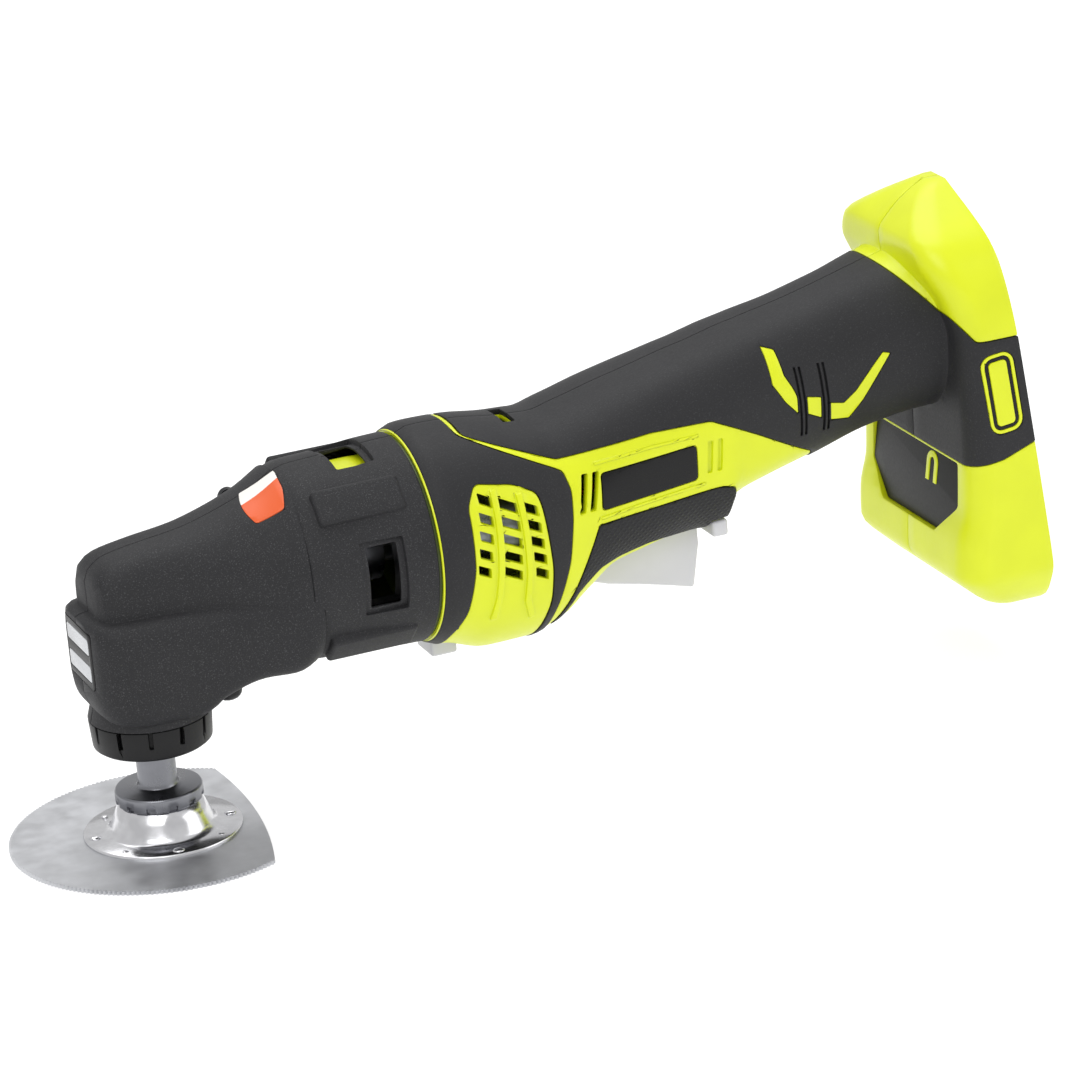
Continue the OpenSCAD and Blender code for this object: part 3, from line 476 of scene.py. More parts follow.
def add(tree, kind, sockets=None, **settings):
    """A node with its settings, and each socket either linked or set."""
    node = tree.nodes.new("ShaderNode" + kind)
    for name, value in settings.items():
        setattr(node, name, value)
    for name, value in (sockets or {}).items():
        if isinstance(value, bpy.types.NodeSocket):
            tree.links.new(value, node.inputs[name])
        else:
            node.inputs[name].default_value = value
    return node


def begin(name):
    """An empty material, its node tree and the object coordinates, in metres."""
    material = bpy.data.materials.new(name)
    material.use_nodes = True
    tree = material.node_tree
    tree.nodes.clear()
    return material, tree, add(tree, "TexCoord").outputs["Object"]


def close(tree, shader):
    add(tree, "OutputMaterial", {"Surface": shader.outputs["BSDF"]})


def grain(tree, where, size_mm, detail=2.0, rough=0.5):
    """Noise whose lumps are about size_mm across."""
    return add(tree, "TexNoise", {"Vector": where, "Scale": 1 / (size_mm * MM), "Detail": detail,
                                  "Roughness": rough}).outputs["Fac"]


def ramp(tree, value, low, high, start, end):
    """A colour that runs from start to end as the value runs from low to high."""
    node = add(tree, "ValToRGB", {"Fac": value})
    node.color_ramp.elements[0].position = low
    node.color_ramp.elements[0].color = start
    node.color_ramp.elements[1].position = high
    node.color_ramp.elements[1].color = end
    return node.outputs["Color"]


def level(tree, value, low, high):
    """A number that runs from low to high with a 0 to 1 value."""
    return add(tree, "MapRange", {"Value": value, "From Min": 0.25, "From Max": 0.75,
                                  "To Min": low, "To Max": high}).outputs["Result"]


def bumps(tree, height, depth_mm, under=None):
    node = {"Height": height, "Strength": 1.0, "Distance": depth_mm * MM}
    if under:
        node["Normal"] = under
    return add(tree, "Bump", node).outputs["Normal"]


def moulded_plastic(name, shade, roughness, spread=0.06, pebble_mm=0.9, pebble_deep=0.02,
                    speckle=0.0, **extra):
    """Injection-moulded plastic: a little colour drift, and the tool steel's spark texture."""
    material, tree, where = begin(name)
    drift = grain(tree, where, 14)
    base = ramp(tree, drift, 0.3, 0.7, colour(shade, 1 - spread), colour(shade, 1 + spread))
    pebble = grain(tree, where, pebble_mm, 3.0, 0.6)
    if speckle:
        dots = grain(tree, where, pebble_mm * 0.55, 2.0, 0.7)
        lit = add(tree, "MapRange", {"Value": dots, "From Min": 0.56, "From Max": 0.74,
                                     "To Min": 0.0, "To Max": speckle}).outputs["Result"]
        base = add(tree, "MixRGB", {"Fac": lit, "Color1": base,
                                    "Color2": colour("9a9a9c")}).outputs["Color"]
    sockets = {"Base Color": base, "Roughness": level(tree, pebble, roughness - 0.05, roughness + 0.05),
               "Normal": bumps(tree, pebble, pebble_deep), "IOR": 1.5}
    sockets.update(extra)
    close(tree, add(tree, "BsdfPrincipled", sockets))
    return material


def turned_metal(name, shade, roughness, line_mm=0.25, stretch=(1, 1, 14), depth=0.004, smudge=0.06):
    """Machined metal: fine tool lines along one way, and faint smudges in the gloss."""
    material, tree, where = begin(name)
    lined = add(tree, "Mapping", {"Vector": where, "Scale": stretch}).outputs["Vector"]
    lines = grain(tree, lined, line_mm, 2.0, 0.6)
    cloud = grain(tree, where, 6)
    base = ramp(tree, cloud, 0.3, 0.7, colour(shade, 0.9), colour(shade, 1.08))
    close(tree, add(tree, "BsdfPrincipled", {
        "Base Color": base, "Metallic": 1.0,
        "Roughness": level(tree, cloud, roughness - smudge, roughness + smudge),
        "Normal": bumps(tree, lines, depth)}))
    return material


def knurled_rubber(name, shade, pitch_mm):
    """Thermoplastic rubber with a moulded grid of small diamonds, seen from the side."""
    material, tree, where = begin(name)
    axes = add(tree, "SeparateXYZ", {"Vector": where}).outputs
    heights = []
    for lean in (1.0, -1.0):
        slanted = add(tree, "Math", {0: axes["X"], 1: lean, 2: axes["Z"]},
                      operation="MULTIPLY_ADD").outputs[0]
        wave = add(tree, "Math", {0: slanted, 1: math.tau / (pitch_mm * MM * math.sqrt(2))},
                   operation="MULTIPLY").outputs[0]
        heights.append(add(tree, "Math", {0: wave}, operation="COSINE").outputs[0])
    both = add(tree, "Math", {0: heights[0], 1: heights[1]}, operation="MAXIMUM").outputs[0]
    soft = grain(tree, where, 0.8)
    under = bumps(tree, soft, 0.03)
    base = ramp(tree, grain(tree, where, 9), 0.3, 0.7, colour(shade, 0.9), colour(shade, 1.1))
    close(tree, add(tree, "BsdfPrincipled", {
        "Base Color": base, "Roughness": 0.62, "IOR": 1.5, "Specular IOR Level": 0.28,
        "Normal": bumps(tree, both, 0.11, under)}))
    return material


def two_colour_sleeve(name, top_z, painted_shade_ring_x):
    """The sleeve's moulding: green above top_z, black elsewhere, and behind the given x a dark green that
    is painted shade of the recessed ring at the joint.
    """
    material, tree, where = begin(name)
    axes = add(tree, "SeparateXYZ", {"Vector": where}).outputs
    above = add(tree, "Math", {0: axes["Z"], 1: top_z * MM}, operation="GREATER_THAN").outputs[0]
    # Mask of the ring at the joint that gets the painted shade.
    behind = add(tree, "Math", {0: axes["X"], 1: painted_shade_ring_x * MM}, operation="GREATER_THAN").outputs[0]
    skin_grain = grain(tree, where, 1.0)
    sides = add(tree, "MixRGB", {"Fac": above, "Color1": colour("0c0c0d"), "Color2": colour("d2dc0c")})
    # Painted shade: the recessed ring at the joint is coloured a darker green (3c4a10) than the green ABS,
    # standing in for its shadow.
    base = add(tree, "MixRGB", {"Fac": behind, "Color1": sides.outputs["Color"],
                                "Color2": colour("3c4a10")})
    close(tree, add(tree, "BsdfPrincipled", {
        "Base Color": base.outputs["Color"], "Roughness": level(tree, skin_grain, 0.34, 0.42),
        "Normal": bumps(tree, skin_grain, 0.008), "IOR": 1.5}))
    return material


def printed_label(name, split_y):
    """Printed vinyl: plain white near the middle of the tool, orange beyond a line on its left."""
    material, tree, where = begin(name)
    y = add(tree, "SeparateXYZ", {"Vector": where}).outputs["Y"]
    beyond = add(tree, "Math", {0: y, 1: split_y * MM}, operation="LESS_THAN").outputs[0]
    print_grain = grain(tree, where, 0.6)
    base = add(tree, "MixRGB", {"Fac": beyond, "Color1": colour("e9e6e0"), "Color2": colour("d9571c")})
    close(tree, add(tree, "BsdfPrincipled", {
        "Base Color": base.outputs["Color"], "Roughness": level(tree, print_grain, 0.3, 0.4),
        "Normal": bumps(tree, print_grain, 0.006), "IOR": 1.5}))
    return material


# The dull plastics throw back less than plain gloss does, because their texture shades itself.
dull = {"Specular IOR Level": 0.28}
# Glass-filled nylon, spark-textured in the mould: a dull charcoal with pale fibres in its skin.
nylon = moulded_plastic("glass_filled_nylon", "242426", 0.62, pebble_mm=0.7, pebble_deep=0.035,
                        speckle=0.16,
                        **dull)
# ABS from a polished mould: an even, bright yellow-green with a soft sheen.
green_abs = moulded_plastic("yellow_green_abs", "d2dc0c", 0.36, spread=0.03, pebble_mm=1.2,
                            pebble_deep=0.008)
# Thermoplastic rubber moulded over the shells: matte, fine pebble.
soft_rubber = moulded_plastic("overmould_rubber", "222224", 0.56, pebble_mm=0.8, pebble_deep=0.035,
                              speckle=0.06,
                              **dull)
# The same rubber with a moulded diamond grid.
diamond_rubber = knurled_rubber("diamond_grip_rubber", "222224", 1.5)
# Black ABS trim: smooth with a low gloss.
black_abs = moulded_plastic("black_abs", "111112", 0.42, pebble_mm=0.8, pebble_deep=0.012, **dull)
# Black polycarbonate badge: glossy.
badge_black = moulded_plastic("gloss_black_badge", "0a0a0b", 0.3, pebble_deep=0.003, **dull)
# Light grey acetal of the trigger and buttons: satin.
grey_acetal = moulded_plastic("light_grey_acetal", "c6c6c9", 0.38, spread=0.03, pebble_mm=1.0,
                              pebble_deep=0.01)
# Grey light strips: polycarbonate with a moulded frost.
frosted = moulded_plastic("frosted_strip", "bcbec1", 0.3, pebble_mm=0.5, pebble_deep=0.02)
label_print = printed_label("printed_label", -6.0)
# Sleeve between head and body: green ABS, black where the side windows show it; its recessed ring at the
# joint carries a painted shade in dark green.
sleeve_abs = two_colour_sleeve("sleeve_green_black_and_painted_shade", axis_z + 14, joint_x - 2)
# Spring steel of the blade, surface ground: fine straight scratches.
ground_steel = turned_metal("ground_spring_steel", "c6c7ca", 0.46, 0.3, (14, 1, 1), 0.006)
# Nickel-plated stamped sheet: bright, softly hazed.
stamped_nickel = turned_metal("stamped_nickel_plate", "d9d9dc", 0.2, 0.8, (1, 1, 1), 0.006)
# Hardened shaft, ground and oiled: dark and shiny.
oiled_steel = turned_metal("oiled_dark_steel", "808186", 0.3, 0.2, (1, 1, 16), 0.004)
blackened_steel = turned_metal("blackened_steel", "2c2d30", 0.38, 0.4, (1, 1, 1), 0.006)
bearing_steel = turned_metal("bearing_steel", "c2c4c8", 0.18, 0.3, (1, 1, 1), 0.002)
cast_alloy = turned_metal("die_cast_alloy", "9b9da1", 0.5, 1.2, (1, 1, 1), 0.03)
zinc_plate = turned_metal("zinc_plated_steel", "a9adb2", 0.3, 0.8, (1, 1, 1), 0.005)
brass = turned_metal("turned_brass", "c9a14a", 0.28, 0.3, (1, 1, 8), 0.004)
copper = turned_metal("enamelled_copper", "b8662e", 0.35, 0.5, (10, 1, 1), 0.03)
carbon = moulded_plastic("pressed_carbon", "232325", 0.7, pebble_mm=0.6, pebble_deep=0.02)
red_vinyl = moulded_plastic("red_vinyl_insulation", "a81f18", 0.4, pebble_deep=0.01)
black_vinyl = moulded_plastic("black_nylon_inside", "1a1a1c", 0.5, pebble_deep=0.02)


# --- Body shells -------------------------------------------------------------

def ring_region(grow):
    """The collar's rubber region, as a solid right across the tool."""
    return cut(side_block(collar_outline, grow, 1.0), side_block(vent_outline, -grow, 1.6))


def under_cuts():
    """Openings for the trigger, the lock slide and the head's release, and the slot on top."""
    pin, trigger = node_box("trigger_pin"), node_box("trigger")
    lock, release = node_box("lock_button"), node_box("release_button")
    pin_x = (pin[0].x + pin[1].x) / 2
    return [
        box((joint_x + 31.2, -6.3, axis_z + 24.4), (joint_x + 34.8, 6.3, axis_z + 44), 0.6),
        box((pin_x - 3.8, trigger[0].y - 0.8, axis_z - 45),
            (trigger[1].x + 1.4, trigger[1].y + 0.8, axis_z + 5)),
        box((lock[0].x - 0.5, lock[0].y - 3.5, axis_z - 24),
            (lock[1].x + 0.5, lock[1].y + 3.5, axis_z - 9.8)),
        box((joint_x + 2, release[0].y - 0.6, axis_z - 45), (joint_x + 12, release[1].y + 0.6, axis_z))]


def tray_place(grow, start, end):
    """The front panel's outline in the foot, between two depths along its normal."""
    slope = math.radians(8.6)
    place = (Matrix.Translation((joint_x + grip_end + 0.2, 0, axis_z - 4.8))
             @ Matrix.Rotation(slope, 4, "Y"))
    panel = block(tray_outline, lambda y, z: Vector((start, y, z)), Vector((end - start, 0, 0)), grow, 0.8)
    return placed(panel, place)


def slots():
    """Vent and cooling slots, right through both sides."""
    cutters = []
    for column, (lean, front, rear, top) in enumerate((
            (-0.8, 13.4, 17.2, 18.0), (-0.2, 19.0, 24.6, 15.8), (0.4, 26.6, 30.6, 13.0))):
        for row in range(5):
            u0, u1, h = front + lean * row, rear + lean * row, top - 4.9 * row
            fall = (u1 - u0) / 2
            corners = [[u0, h], [u1, h - fall], [u1, h - fall - 2.9], [u0, h - 2.9]]
            cutters.append(side_block(corners, 0, 0.35))
    for u in (43.8, 47.2):
        cutters.append(side_block([[u, 5.2], [u + 1.9, 5.2], [u + 4.3, 16.2], [u + 2.4, 16.2]], 0, 0.4))
    return cutters


def screw_wells(spots, x0, z0):
    """Stepped holes for screws from the tool's right side."""
    wells = []
    for x, z in spots:
        wells.append(rod(1.6, (x0 + x, -8, z0 + z), (x0 + x, FAR, z0 + z), 32))
        wells.append(rod(3.0, (x0 + x, 12, z0 + z), (x0 + x, FAR, z0 + z), 32))
    return wells


def strip(points, half_width):
    """A side outline that follows a line at a constant width."""
    line = [Vector(point) for point in points]
    above, below = [], []
    for i, here in enumerate(line):
        along = (line[min(i + 1, len(line) - 1)] - line[max(i - 1, 0)]).normalized()
        normal = Vector((-along.y, along.x)) * half_width
        above.append(here + normal)
        below.append(here - normal)
    return above + below[::-1]


def skin(grow, depth):
    """The layer of the body between a height above its surface and a depth below it."""
    return cut(body(grow), body(-depth, 8))


core = body(-skin_t, 8)
thin_core = body(-1.0, 8)
rubber_stock = body(proud)
for tool in under_cuts():
    rubber_stock = cut(rubber_stock, tool)
rubber_stock = cut(rubber_stock, copied(core), tray_place(0.1, -9, 6))

collar_rubber = keep(copied(rubber_stock), ring_region(-gap))
guard_rubber = keep(copied(rubber_stock), side_block(guard_outline, -gap, 0.8))
grip_rubber = keep(copied(rubber_stock), side_block(grip_outline, -gap, 0.8))

shell = body()
cavity = join(body(-wall, 4),
              rod(joint_r - wall, (joint_x - 1, 0, axis_z), (joint_x + 0.1, 0, axis_z), RING))
shell = cut(shell, cavity)
pockets = join(ring_region(gap), side_block(guard_outline, gap, 0.8), side_block(grip_outline, gap, 0.8))
shell = cut(shell, cut(pockets, copied(core)))
shell = cut(shell, cut(side_block(badge_outline, gap, 1.2), copied(thin_core)))
rib_paths = [[(18.1, 18.2), (17.6, 6), (17.0, -5), (16.2, -13), (14.8, -20.5)],
             [(25.6, 15.8), (25.8, 5), (26.0, -7), (25.4, -16.5), (27.4, -23)]]
vent_ribs = join(*(side_block(strip(path, 0.95), 0, 0.3) for path in rib_paths))
panel_lines = join(side_block(strip([(50.5, 18.4), (68, 19.7), (83.6, 19.9)], 0.45), 0, 0),
                   side_block(strip([(50.5, 2.5), (68, 3.9), (85, 4.9)], 0.45), 0, 0))
shell = cut(shell, *slots())
shell = join(shell, keep(skin(0.9, 0.8), vent_ribs), keep(skin(0.35, 0.8), panel_lines))
for u in (85.8, 89.0):
    shell = cut(shell, cut(side_block([[u, 7.8], [u + 1.5, 7.8], [u + 2.3, 17.4], [u + 0.8, 17.4]], 0, 0.5),
                           copied(thin_core)))
shell = cut(shell, *under_cuts(), tray_place(0.1, -9, 6))
shell = cut(shell, *screw_wells(body_screws, joint_x, axis_z))

for side, word in ((-1, "left"), (1, "right")):
    finished(rounded(half(shell, side)), f"{word}_body_shell", "base", green_abs,
             [f"{word}_housing"])
    finished(rounded(half(collar_rubber, side)), f"{word}_collar_overmould", "base",
             soft_rubber, [f"collar_rubber_{word}"])
    finished(rounded(half(guard_rubber, side)), f"{word}_guard_overmould", "base",
             diamond_rubber, [f"guard_rubber_{word}"])


def capsule(inner):
    """The foot badge's outline pushed across the foot, made smaller by a margin."""
    place = Matrix.Translation((joint_x + foot_x, 0, axis_z + foot_z)) @ Matrix.Rotation(-foot_tilt, 4, "Y")
    outline = [(-13.2 + inner, -27.7 + inner), (-2.8 - inner, -27.7 + inner), (-2.8 - inner, -3.3 - inner),
               (-13.2 + inner, -3.3 - inner)]
    through = block(outline, lambda x, z: Vector((x, -FAR, z)), Vector((0, 2 * FAR, 0)), 0, 3.6 - inner)
    return placed(through, place)


inlays = []
for outline in inlay_outlines:
    placed_outline = [[u + grip_start, h] for u, h in outline]
    inlays.append(placed_outline)
for outline in inlays:
    grip_rubber = cut(grip_rubber, cut(side_block(outline, gap, 0.3), copied(core)))
for u in (19.3, 20.8, 26.8, 28.3):
    groove = strip([(grip_start + u - 0.9, 33), (grip_start + u, 22), (grip_start + u + 0.3, 12)], 0.35)
    grip_rubber = cut(grip_rubber, cut(side_block(groove, 0, 0.1), body(-0.9, 8)))
grip_rubber = cut(grip_rubber, cut(capsule(-0.2), copied(core)))
for side, word in ((-1, "left"), (1, "right")):
    finished(rounded(half(grip_rubber, side)), f"{word}_grip_overmould", "base",
             soft_rubber, [f"grip_rubber_{word}"])

inset = cut(body(proud - 0.15), copied(thin_core))
green_strokes = join(*[side_block(outline, -0.05, 0.3) for outline in inlays])
finished(rounded(keep(copied(inset), green_strokes), 0.15), "grip_strokes", "base",
         green_abs, ["grip_inlays"])

badge_ring = keep(cut(body(proud - 0.4), copied(thin_core)), cut(capsule(1.1), capsule(2.2)))
finished(rounded(badge_ring, 0.1), "foot_badge_rings", "base", badge_black)
badge_frame = cut(keep(copied(inset), capsule(0)), cut(capsule(1.0), capsule(2.3)))
finished(rounded(badge_frame, 0.15), "foot_badge_plates", "base",
         green_abs, ["foot_badges"])
finished(rounded(keep(cut(body(0.1), thin_core), side_block(badge_outline, -gap, 1.2)), 0.15),
         "side_badge_plates", "base", badge_black, ["side_badges"])
drop(core, rubber_stock, collar_rubber, guard_rubber, grip_rubber, shell, inset)

finished(rounded(tray_place(-0.05, 0, 1.8), 0.3), "front_tray_panel", "base",
         black_abs, ["magnet_tray"])


# --- Head --------------------------------------------------------------------

def collar_windows(grow):
    """The four openings round the head's socket."""
    cutters = []
    window_x = joint_x - 16.7
    for quarter in range(4):
        hole = box((window_x - 4.5 - grow, -9 - grow, joint_r - 9),
                   (window_x + 4.5 + grow, 9 + grow, joint_r + 11),
                   0.6)
        turn = Matrix.Translation((0, 0, axis_z)) @ Matrix.Rotation(math.pi / 2 * quarter, 4, "X")
        cutters.append(placed(hole, turn))
    return cutters


def window_rims():
    """Shallow steps round the windows."""
    return [cut(rim, rod(joint_r - 2.3, (0, 0, axis_z), (joint_x + 9, 0, axis_z), RING))
            for rim in collar_windows(1.8)]


def collar_ribs():
    """Raised ribs between the windows."""
    ribs = []
    for quarter in range(4):
        rib = box((joint_x - 33, -5.5, joint_r - 7), (joint_x - 7, 5.5, joint_r + 0.2), 1.2)
        turn = Matrix.Translation((0, 0, axis_z)) @ Matrix.Rotation(math.pi / 2 * (quarter + 0.5), 4, "X")
        ribs.append(placed(rib, turn))
    return ribs


trim_low, trim_high = Vector((-30, -11.5, 40.5)), Vector((-17.2, 11.5, 57.5))
label_turn = (Matrix.Translation((34, -7, axis_z + 21)) @ Matrix.Rotation(math.radians(24), 4, "Y")
              @ Matrix.Rotation(math.radians(15), 4, "X"))

head_shell = join(head(), rod(17.85, (0, 0, 26.8), (0, 0, 35), 128, 15.5), *collar_ribs())
head_shell = cut(head_shell, head_cavity(2.4),
                 rod(joint_r - 4.8, (joint_x - 29.5, 0, axis_z), (joint_x + 1, 0, axis_z), RING),
                 rod(14.75, (0, 0, 0), (0, 0, 33), 96), rod(17.95, (0, 0, 17.7), (0, 0, 26.9), 96),
                 *collar_windows(0), *window_rims(),
                 box(trim_low - Vector((0, gap, gap)), trim_high + Vector((0, gap, gap)), 1.5),
                 placed(box((-6.1, -8.1, -0.8), (6.1, 8.1, 9), 0.4), label_turn),
                 *screw_wells(head_screws, 0, 0))
for side, word in ((-1, "left"), (1, "right")):
    finished(rounded(half(head_shell, side)), f"{word}_head_shell", "head", nylon,
             [f"head_{word}"])
drop(head_shell)

plug = keep(head(0.02), box(trim_low, trim_high, 1.5))
strips = [box((-30, -9.6, z), (-17.5, 9.6, z + 4.8), 1.0) for z in (42.5, 50.6)]
strip_holes = [box((-30, -9.7, z - 0.1), (-17.5, 9.7, z + 4.9), 1.0) for z in (42.5, 50.6)]
finished(rounded(cut(plug, *strip_holes), 0.2), "front_trim_frame", "head", black_abs,
         ["front_trim"])
finished(rounded(keep(head(-0.15), join(*strips)), 0.2), "front_light_strips", "head", frosted,
         ["front_strips"])
finished(rounded(keep(head(0.05), placed(box((-6, -8, -0.7), (6, 8, 9), 0.4), label_turn)), 0.1),
         "printed_label_plate", "head", label_print, ["label_plate"])


# --- Nose, spindle and blade --------------------------------------------------

def in_rows(count, make, start=0.0):
    """Pieces made once and turned evenly round the spindle."""
    return [placed(make(), Matrix.Rotation(start + math.tau * i / count, 4, "Z")) for i in range(count)]


ring_low, ring_high = node_box("nose_ring")
nose_r = ring_high.x
ring = turned([(11.2, ring_low.z), (nose_r - 1.8, ring_low.z), (nose_r - 0.6, ring_low.z + 0.9),
               (nose_r, ring_high.z), (11.2, ring_high.z)], 128)
ring_slot_low, ring_slot_high = (nose_r - 2, -0.6, ring_low.z + 4), (nose_r + 2, 0.6, ring_high.z + 1)
ring = cut(ring, *in_rows(12, lambda: box(ring_slot_low, ring_slot_high), 0.2))
finished(rounded(ring, 0.25), "slotted_nose_ring", "head", black_abs, ["nose_ring"])

shaft_high = node_box("spindle")[1]
flange_r = shaft_high.x
shaft_r = 5.65
shaft = turned([(3.3, 0), (flange_r - 0.35, 0), (flange_r, 0.35), (flange_r, 3.7), (flange_r - 0.5, 4.2),
                (shaft_r + 1.5, 4.2), (shaft_r + 0.4, 4.7), (shaft_r, 5.8), (shaft_r, axis_z - 6.9),
                (shaft_r - 0.3, axis_z - 6.6), (3.95, axis_z - 6.6), (3.95, shaft_high.z - 0.4),
                (3.5, shaft_high.z), (0.001, shaft_high.z), (0.001, 18), (3.3, 18)], 96)
shaft = cut(shaft, *in_rows(12, lambda: box((flange_r - 1.4, -1.3, -1), (flange_r + 2, 1.3, 1.6))))
finished(rounded(shaft, 0.15), "flanged_spindle", "spindle", oiled_steel, ["spindle"])


def segment_blade():
    """A toothed disc with a nearly straight rear edge, made flat and then thickened."""
    low, high = node_box("blade")
    blade_r = -low.x
    teeth = 200
    bm = bmesh.new()
    rim = bmesh.ops.create_circle(bm, segments=2 * teeth, radius=blade_r)["verts"]
    bmesh.ops.scale(bm, verts=rim[::2], vec=(1 - 0.9 / blade_r,) * 3)
    bmesh.ops.contextual_create(bm, geom=rim)
    pushed = bmesh.ops.extrude_face_region(bm, geom=bm.faces[:])["geom"]
    tops = [item for item in pushed if isinstance(item, bmesh.types.BMVert)]
    bmesh.ops.translate(bm, verts=tops, vec=(0, 0, high.z - low.z))
    bmesh.ops.translate(bm, verts=bm.verts, vec=(0, 0, low.z))
    disc = solid(bm)
    rear_r, rear_x = 190, 27.5
    disc = keep(disc, rod(rear_r, (rear_x - rear_r, 0, low.z - 5), (rear_x - rear_r, 0, high.z + 5), 512))
    disc = cut(disc, rod(13.5, (0, 0, low.z - 5), (0, 0, high.z + 5), 96))
    return placed(disc, Matrix.Rotation(math.radians(-6), 4, "Z"))


finished(segment_blade(), "toothed_segment_blade", "spindle", ground_steel, ["blade"])

hub_low, hub_high = node_box("blade_hub")
hub_r = hub_high.x
drop_z = hub_low.z + 1
hub = turned([(4.2, 0), (11.2, 0), (12.2, -0.5), (13.6, -3.6), (14.8, -6.6), (15.6, -7.9), (17, drop_z),
              (hub_r - 0.3, drop_z), (hub_r, drop_z - 0.3), (hub_r, hub_low.z), (16.2, hub_low.z),
              (14.9, -8.2), (13.6, -6.6), (11.4, -1.6), (10.8, -1), (4.2, -1)], 128)
finished(hub, "stamped_hub", "spindle", stamped_nickel, ["blade_hub"], smooth=50)


def dimple(r, tall):
    """One low round dimple on the hub's flat ring."""
    bm = bmesh.new()
    bmesh.ops.create_uvsphere(bm, u_segments=20, v_segments=10, radius=r)
    bmesh.ops.scale(bm, verts=bm.verts, vec=(1, 1, tall / r))
    bmesh.ops.bisect_plane(bm, geom=bm.verts[:] + bm.edges[:] + bm.faces[:], plane_co=(0, 0, -0.2),
                           plane_no=(0, 0, -1), clear_outer=True)
    bmesh.ops.holes_fill(bm, edges=[edge for edge in bm.edges if edge.is_boundary])
    bmesh.ops.translate(bm, verts=bm.verts, vec=(20, 0, drop_z))
    return solid(bm)


start = math.radians(84)
dimples = (in_rows(4, lambda: dimple(1.8, 0.7), start)
           + in_rows(4, lambda: dimple(1.0, 0.4), start + math.pi / 4))
finished(join(*dimples), "hub_dimples", "spindle", stamped_nickel, ["hub_rivets"], smooth=50)


# --- Controls ----------------------------------------------------------------

pin_low, pin_high = node_box("trigger_pin")
pin_x, pin_z = (pin_low.x + pin_high.x) / 2 - joint_x, (pin_low.z + pin_high.z) / 2 - axis_z
trigger_low, trigger_high = node_box("trigger")
reach = trigger_high.x - joint_x - pin_x
lever_outline = [[-2.4, -7.5], [-2.4, 3], [reach - 0.2, 3], [reach, -4], [reach - 2.5, -17.4],
                 [reach - 9.5, -15.4],
                 [reach - 19.5, -12.8], [reach - 29.5, -10.5]]
lever = side_block([[pin_x + u, pin_z + h] for u, h in lever_outline], 0, 0, trigger_low.y, trigger_high.y)
lever = rounded(lever, 1.1, 4, 20)
pin_hole = rod(2.05, (joint_x + pin_x, -20, axis_z + pin_z), (joint_x + pin_x, 20, axis_z + pin_z), 48)
lever = cut(lever, pin_hole)
finished(lever, "trigger_lever", "trigger", grey_acetal, ["trigger"])

lock_low, lock_high = node_box("lock_button")
lock_low.z += 2.6
finished(box(lock_low, lock_high, 0.9), "lock_slide_bar", "lock", grey_acetal,
         ["lock_button"])


release_low, release_high = node_box("release_button")
hook_end = joint_x + 3
release = join(box((hook_end, release_low.y, release_low.z), release_high, 0.9),
               box((release_low.x, -4, axis_z - 25.2), (hook_end + 3, 4, axis_z - 22.2), 0.3))
finished(release, "release_button_and_hook", "release", grey_acetal, ["release_button"])

finished(box((17, -13, 28.6), (25, 13, 37), 3.4), "head_underside_bump", "head", black_abs)


def magnet_sign():
    """A small raised horseshoe on the front panel."""
    arch = [(-10 + r * math.cos(turn), -4.5 + r * math.sin(turn)) for r, way in ((3.4, 1), (1.5, -1))
            for turn in [math.pi * i / 12 for i in range(13)][::way]]
    outline = arch[:13] + [(-13.4, -10.5), (-11.5, -10.5)] + arch[13:] + [(-8.5, -10.5), (-6.6, -10.5)]
    sign = block(outline, lambda y, z: Vector((-0.35, y, z)), Vector((0.7, 0, 0)))
    place = (Matrix.Translation((joint_x + grip_end + 0.2, 0, axis_z - 4.8))
             @ Matrix.Rotation(math.radians(8.6), 4, "Y"))
    return placed(sign, place)


finished(rounded(magnet_sign(), 0.12), "magnet_sign", "base", green_abs)


# --- CAD nodes that stay as they are -----------------------------------------

node_finishes = {
    black_abs: ["spindle_seal", "cooling_fan", "battery_tray", "battery_socket"],
    black_vinyl: ["switch_module"],
    cast_alloy: ["gear_case"],
    bearing_steel: ["lower_bearing", "upper_bearing", "input_bearing", "eccentric_bearing",
                    "front_motor_bearing", "rear_motor_bearing"],
    blackened_steel: ["head_screws", "housing_screws", "clamp_bolt", "field_magnets"],
    carbon: ["carbon_brushes"],
    oiled_steel: ["rocker_fork", "eccentric_shaft", "drive_socket", "rotor_shaft", "drive_dog",
                  "trigger_pin"],
    zinc_plate: ["clamp_washer", "motor_can", "tray_magnet", "trigger_spring"],
    brass: ["counterweight", "battery_contacts"],
    copper: ["armature", "commutator"],
    sleeve_abs: ["head_spigot"],
    grey_acetal: ["switch_plunger"],
    red_vinyl: ["lead_wires"],
}
for finish, names in node_finishes.items():
    for name in names:
        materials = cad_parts[name].data.materials
        materials.clear()
        materials.append(finish)


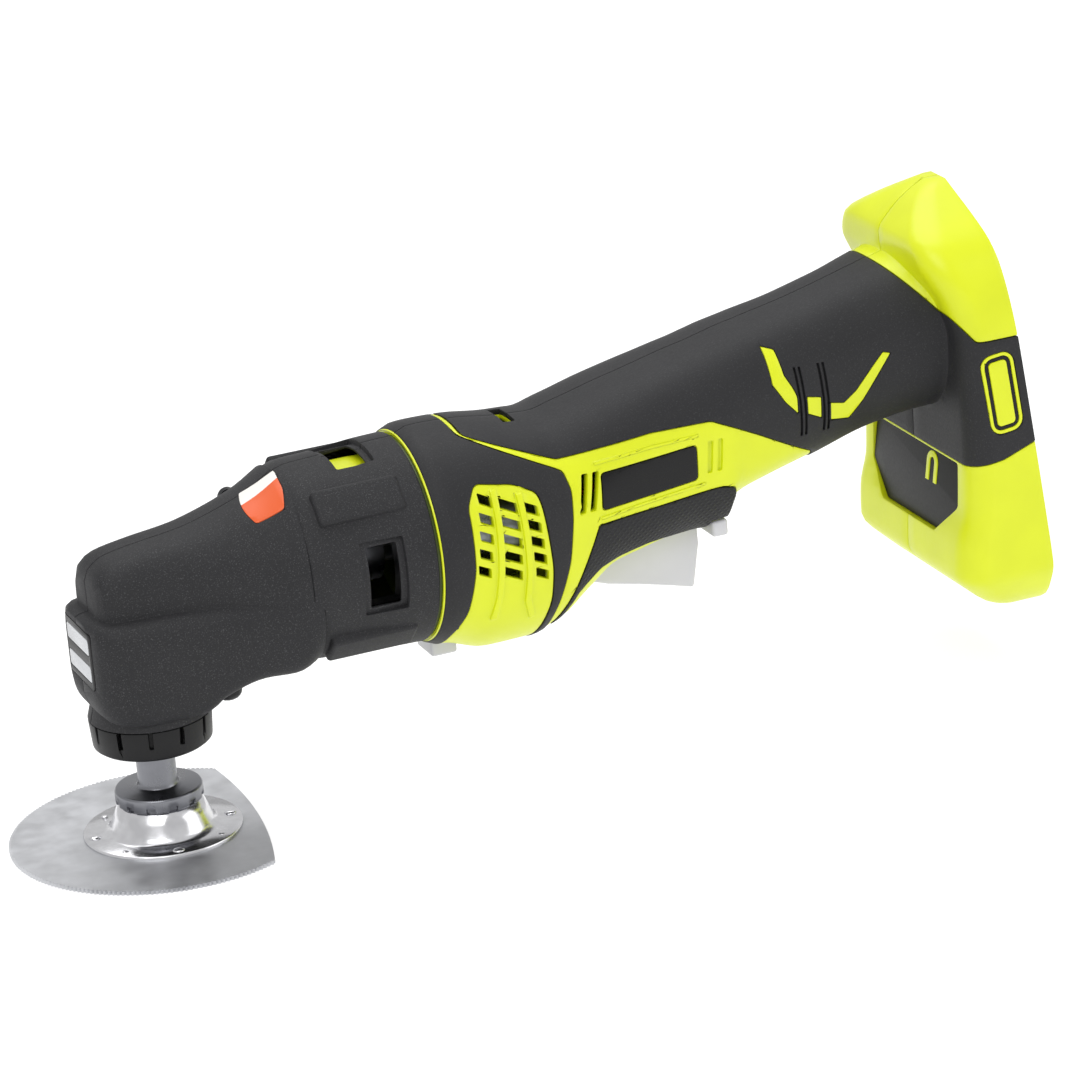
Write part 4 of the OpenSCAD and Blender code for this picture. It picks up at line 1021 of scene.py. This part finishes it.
# --- Studio ------------------------------------------------------------------

def studio():
    """A pale floor, a pale room and three soft lights."""
    scene = bpy.context.scene
    scene.view_settings.view_transform = "Standard"
    floor = box((-6000, -6000, cad_low.z / MM - 3.2), (6000, 6000, cad_low.z / MM - 0.2))
    floor.name = "studio_floor"
    floor.data.transform(Matrix.Scale(MM, 4))
    paint, tree, where = begin("pale_floor_paint")
    tone = ramp(tree, grain(tree, where, 400), 0.3, 0.7, colour("b4b4b4"), colour("b8b8b8"))
    close(tree, add(tree, "BsdfPrincipled", {"Base Color": tone, "Roughness": 0.7,
                                             "Emission Color": colour("ffffff"),
                                             "Emission Strength": 0.7}))
    floor.data.materials.append(paint)

    world = bpy.data.worlds.new("pale_room")
    scene.world = world
    world.use_nodes = True
    world.node_tree.nodes["Background"].inputs["Color"].default_value = colour("ffffff")
    world.node_tree.nodes["Background"].inputs["Strength"].default_value = 0.72

    target = Vector((0.12, 0, 0.06))
    for name, place, size, power in (
            ("key_light", (-0.7, -1.1, 1.5), 1.2, 11), ("fill_light", (1.4, -0.8, 0.7), 1.0, 4),
            ("top_light", (0.2, 0.5, 1.6), 1.4, 14)):
        lamp = bpy.data.lights.new(name, "AREA")
        lamp.size = size
        lamp.energy = power
        light = bpy.data.objects.new(name, lamp)
        scene.collection.objects.link(light)
        light.location = place
        light.rotation_euler = (target - light.location).to_track_quat("-Z", "Y").to_euler()


def camera():
    """The camera at the tool's left front, a little above it and rolled."""
    lens = bpy.data.cameras.new("camera")
    lens.lens = 175
    lens.sensor_width = 36
    lens.clip_end = 50
    taken = bpy.data.objects.new("camera", lens)
    bpy.context.scene.collection.objects.link(taken)
    ahead = Vector((0.33676, 0.87728, -0.34202)).normalized()
    right = Vector((0.91934, -0.38484, -0.08190)).normalized()
    up = right.cross(ahead)
    taken.matrix_world = Matrix.Translation((-0.39071, -1.33791, 0.57351)) @ Matrix(
        (right, up, -ahead)).transposed().to_4x4()
    bpy.context.scene.camera = taken


studio()
camera()
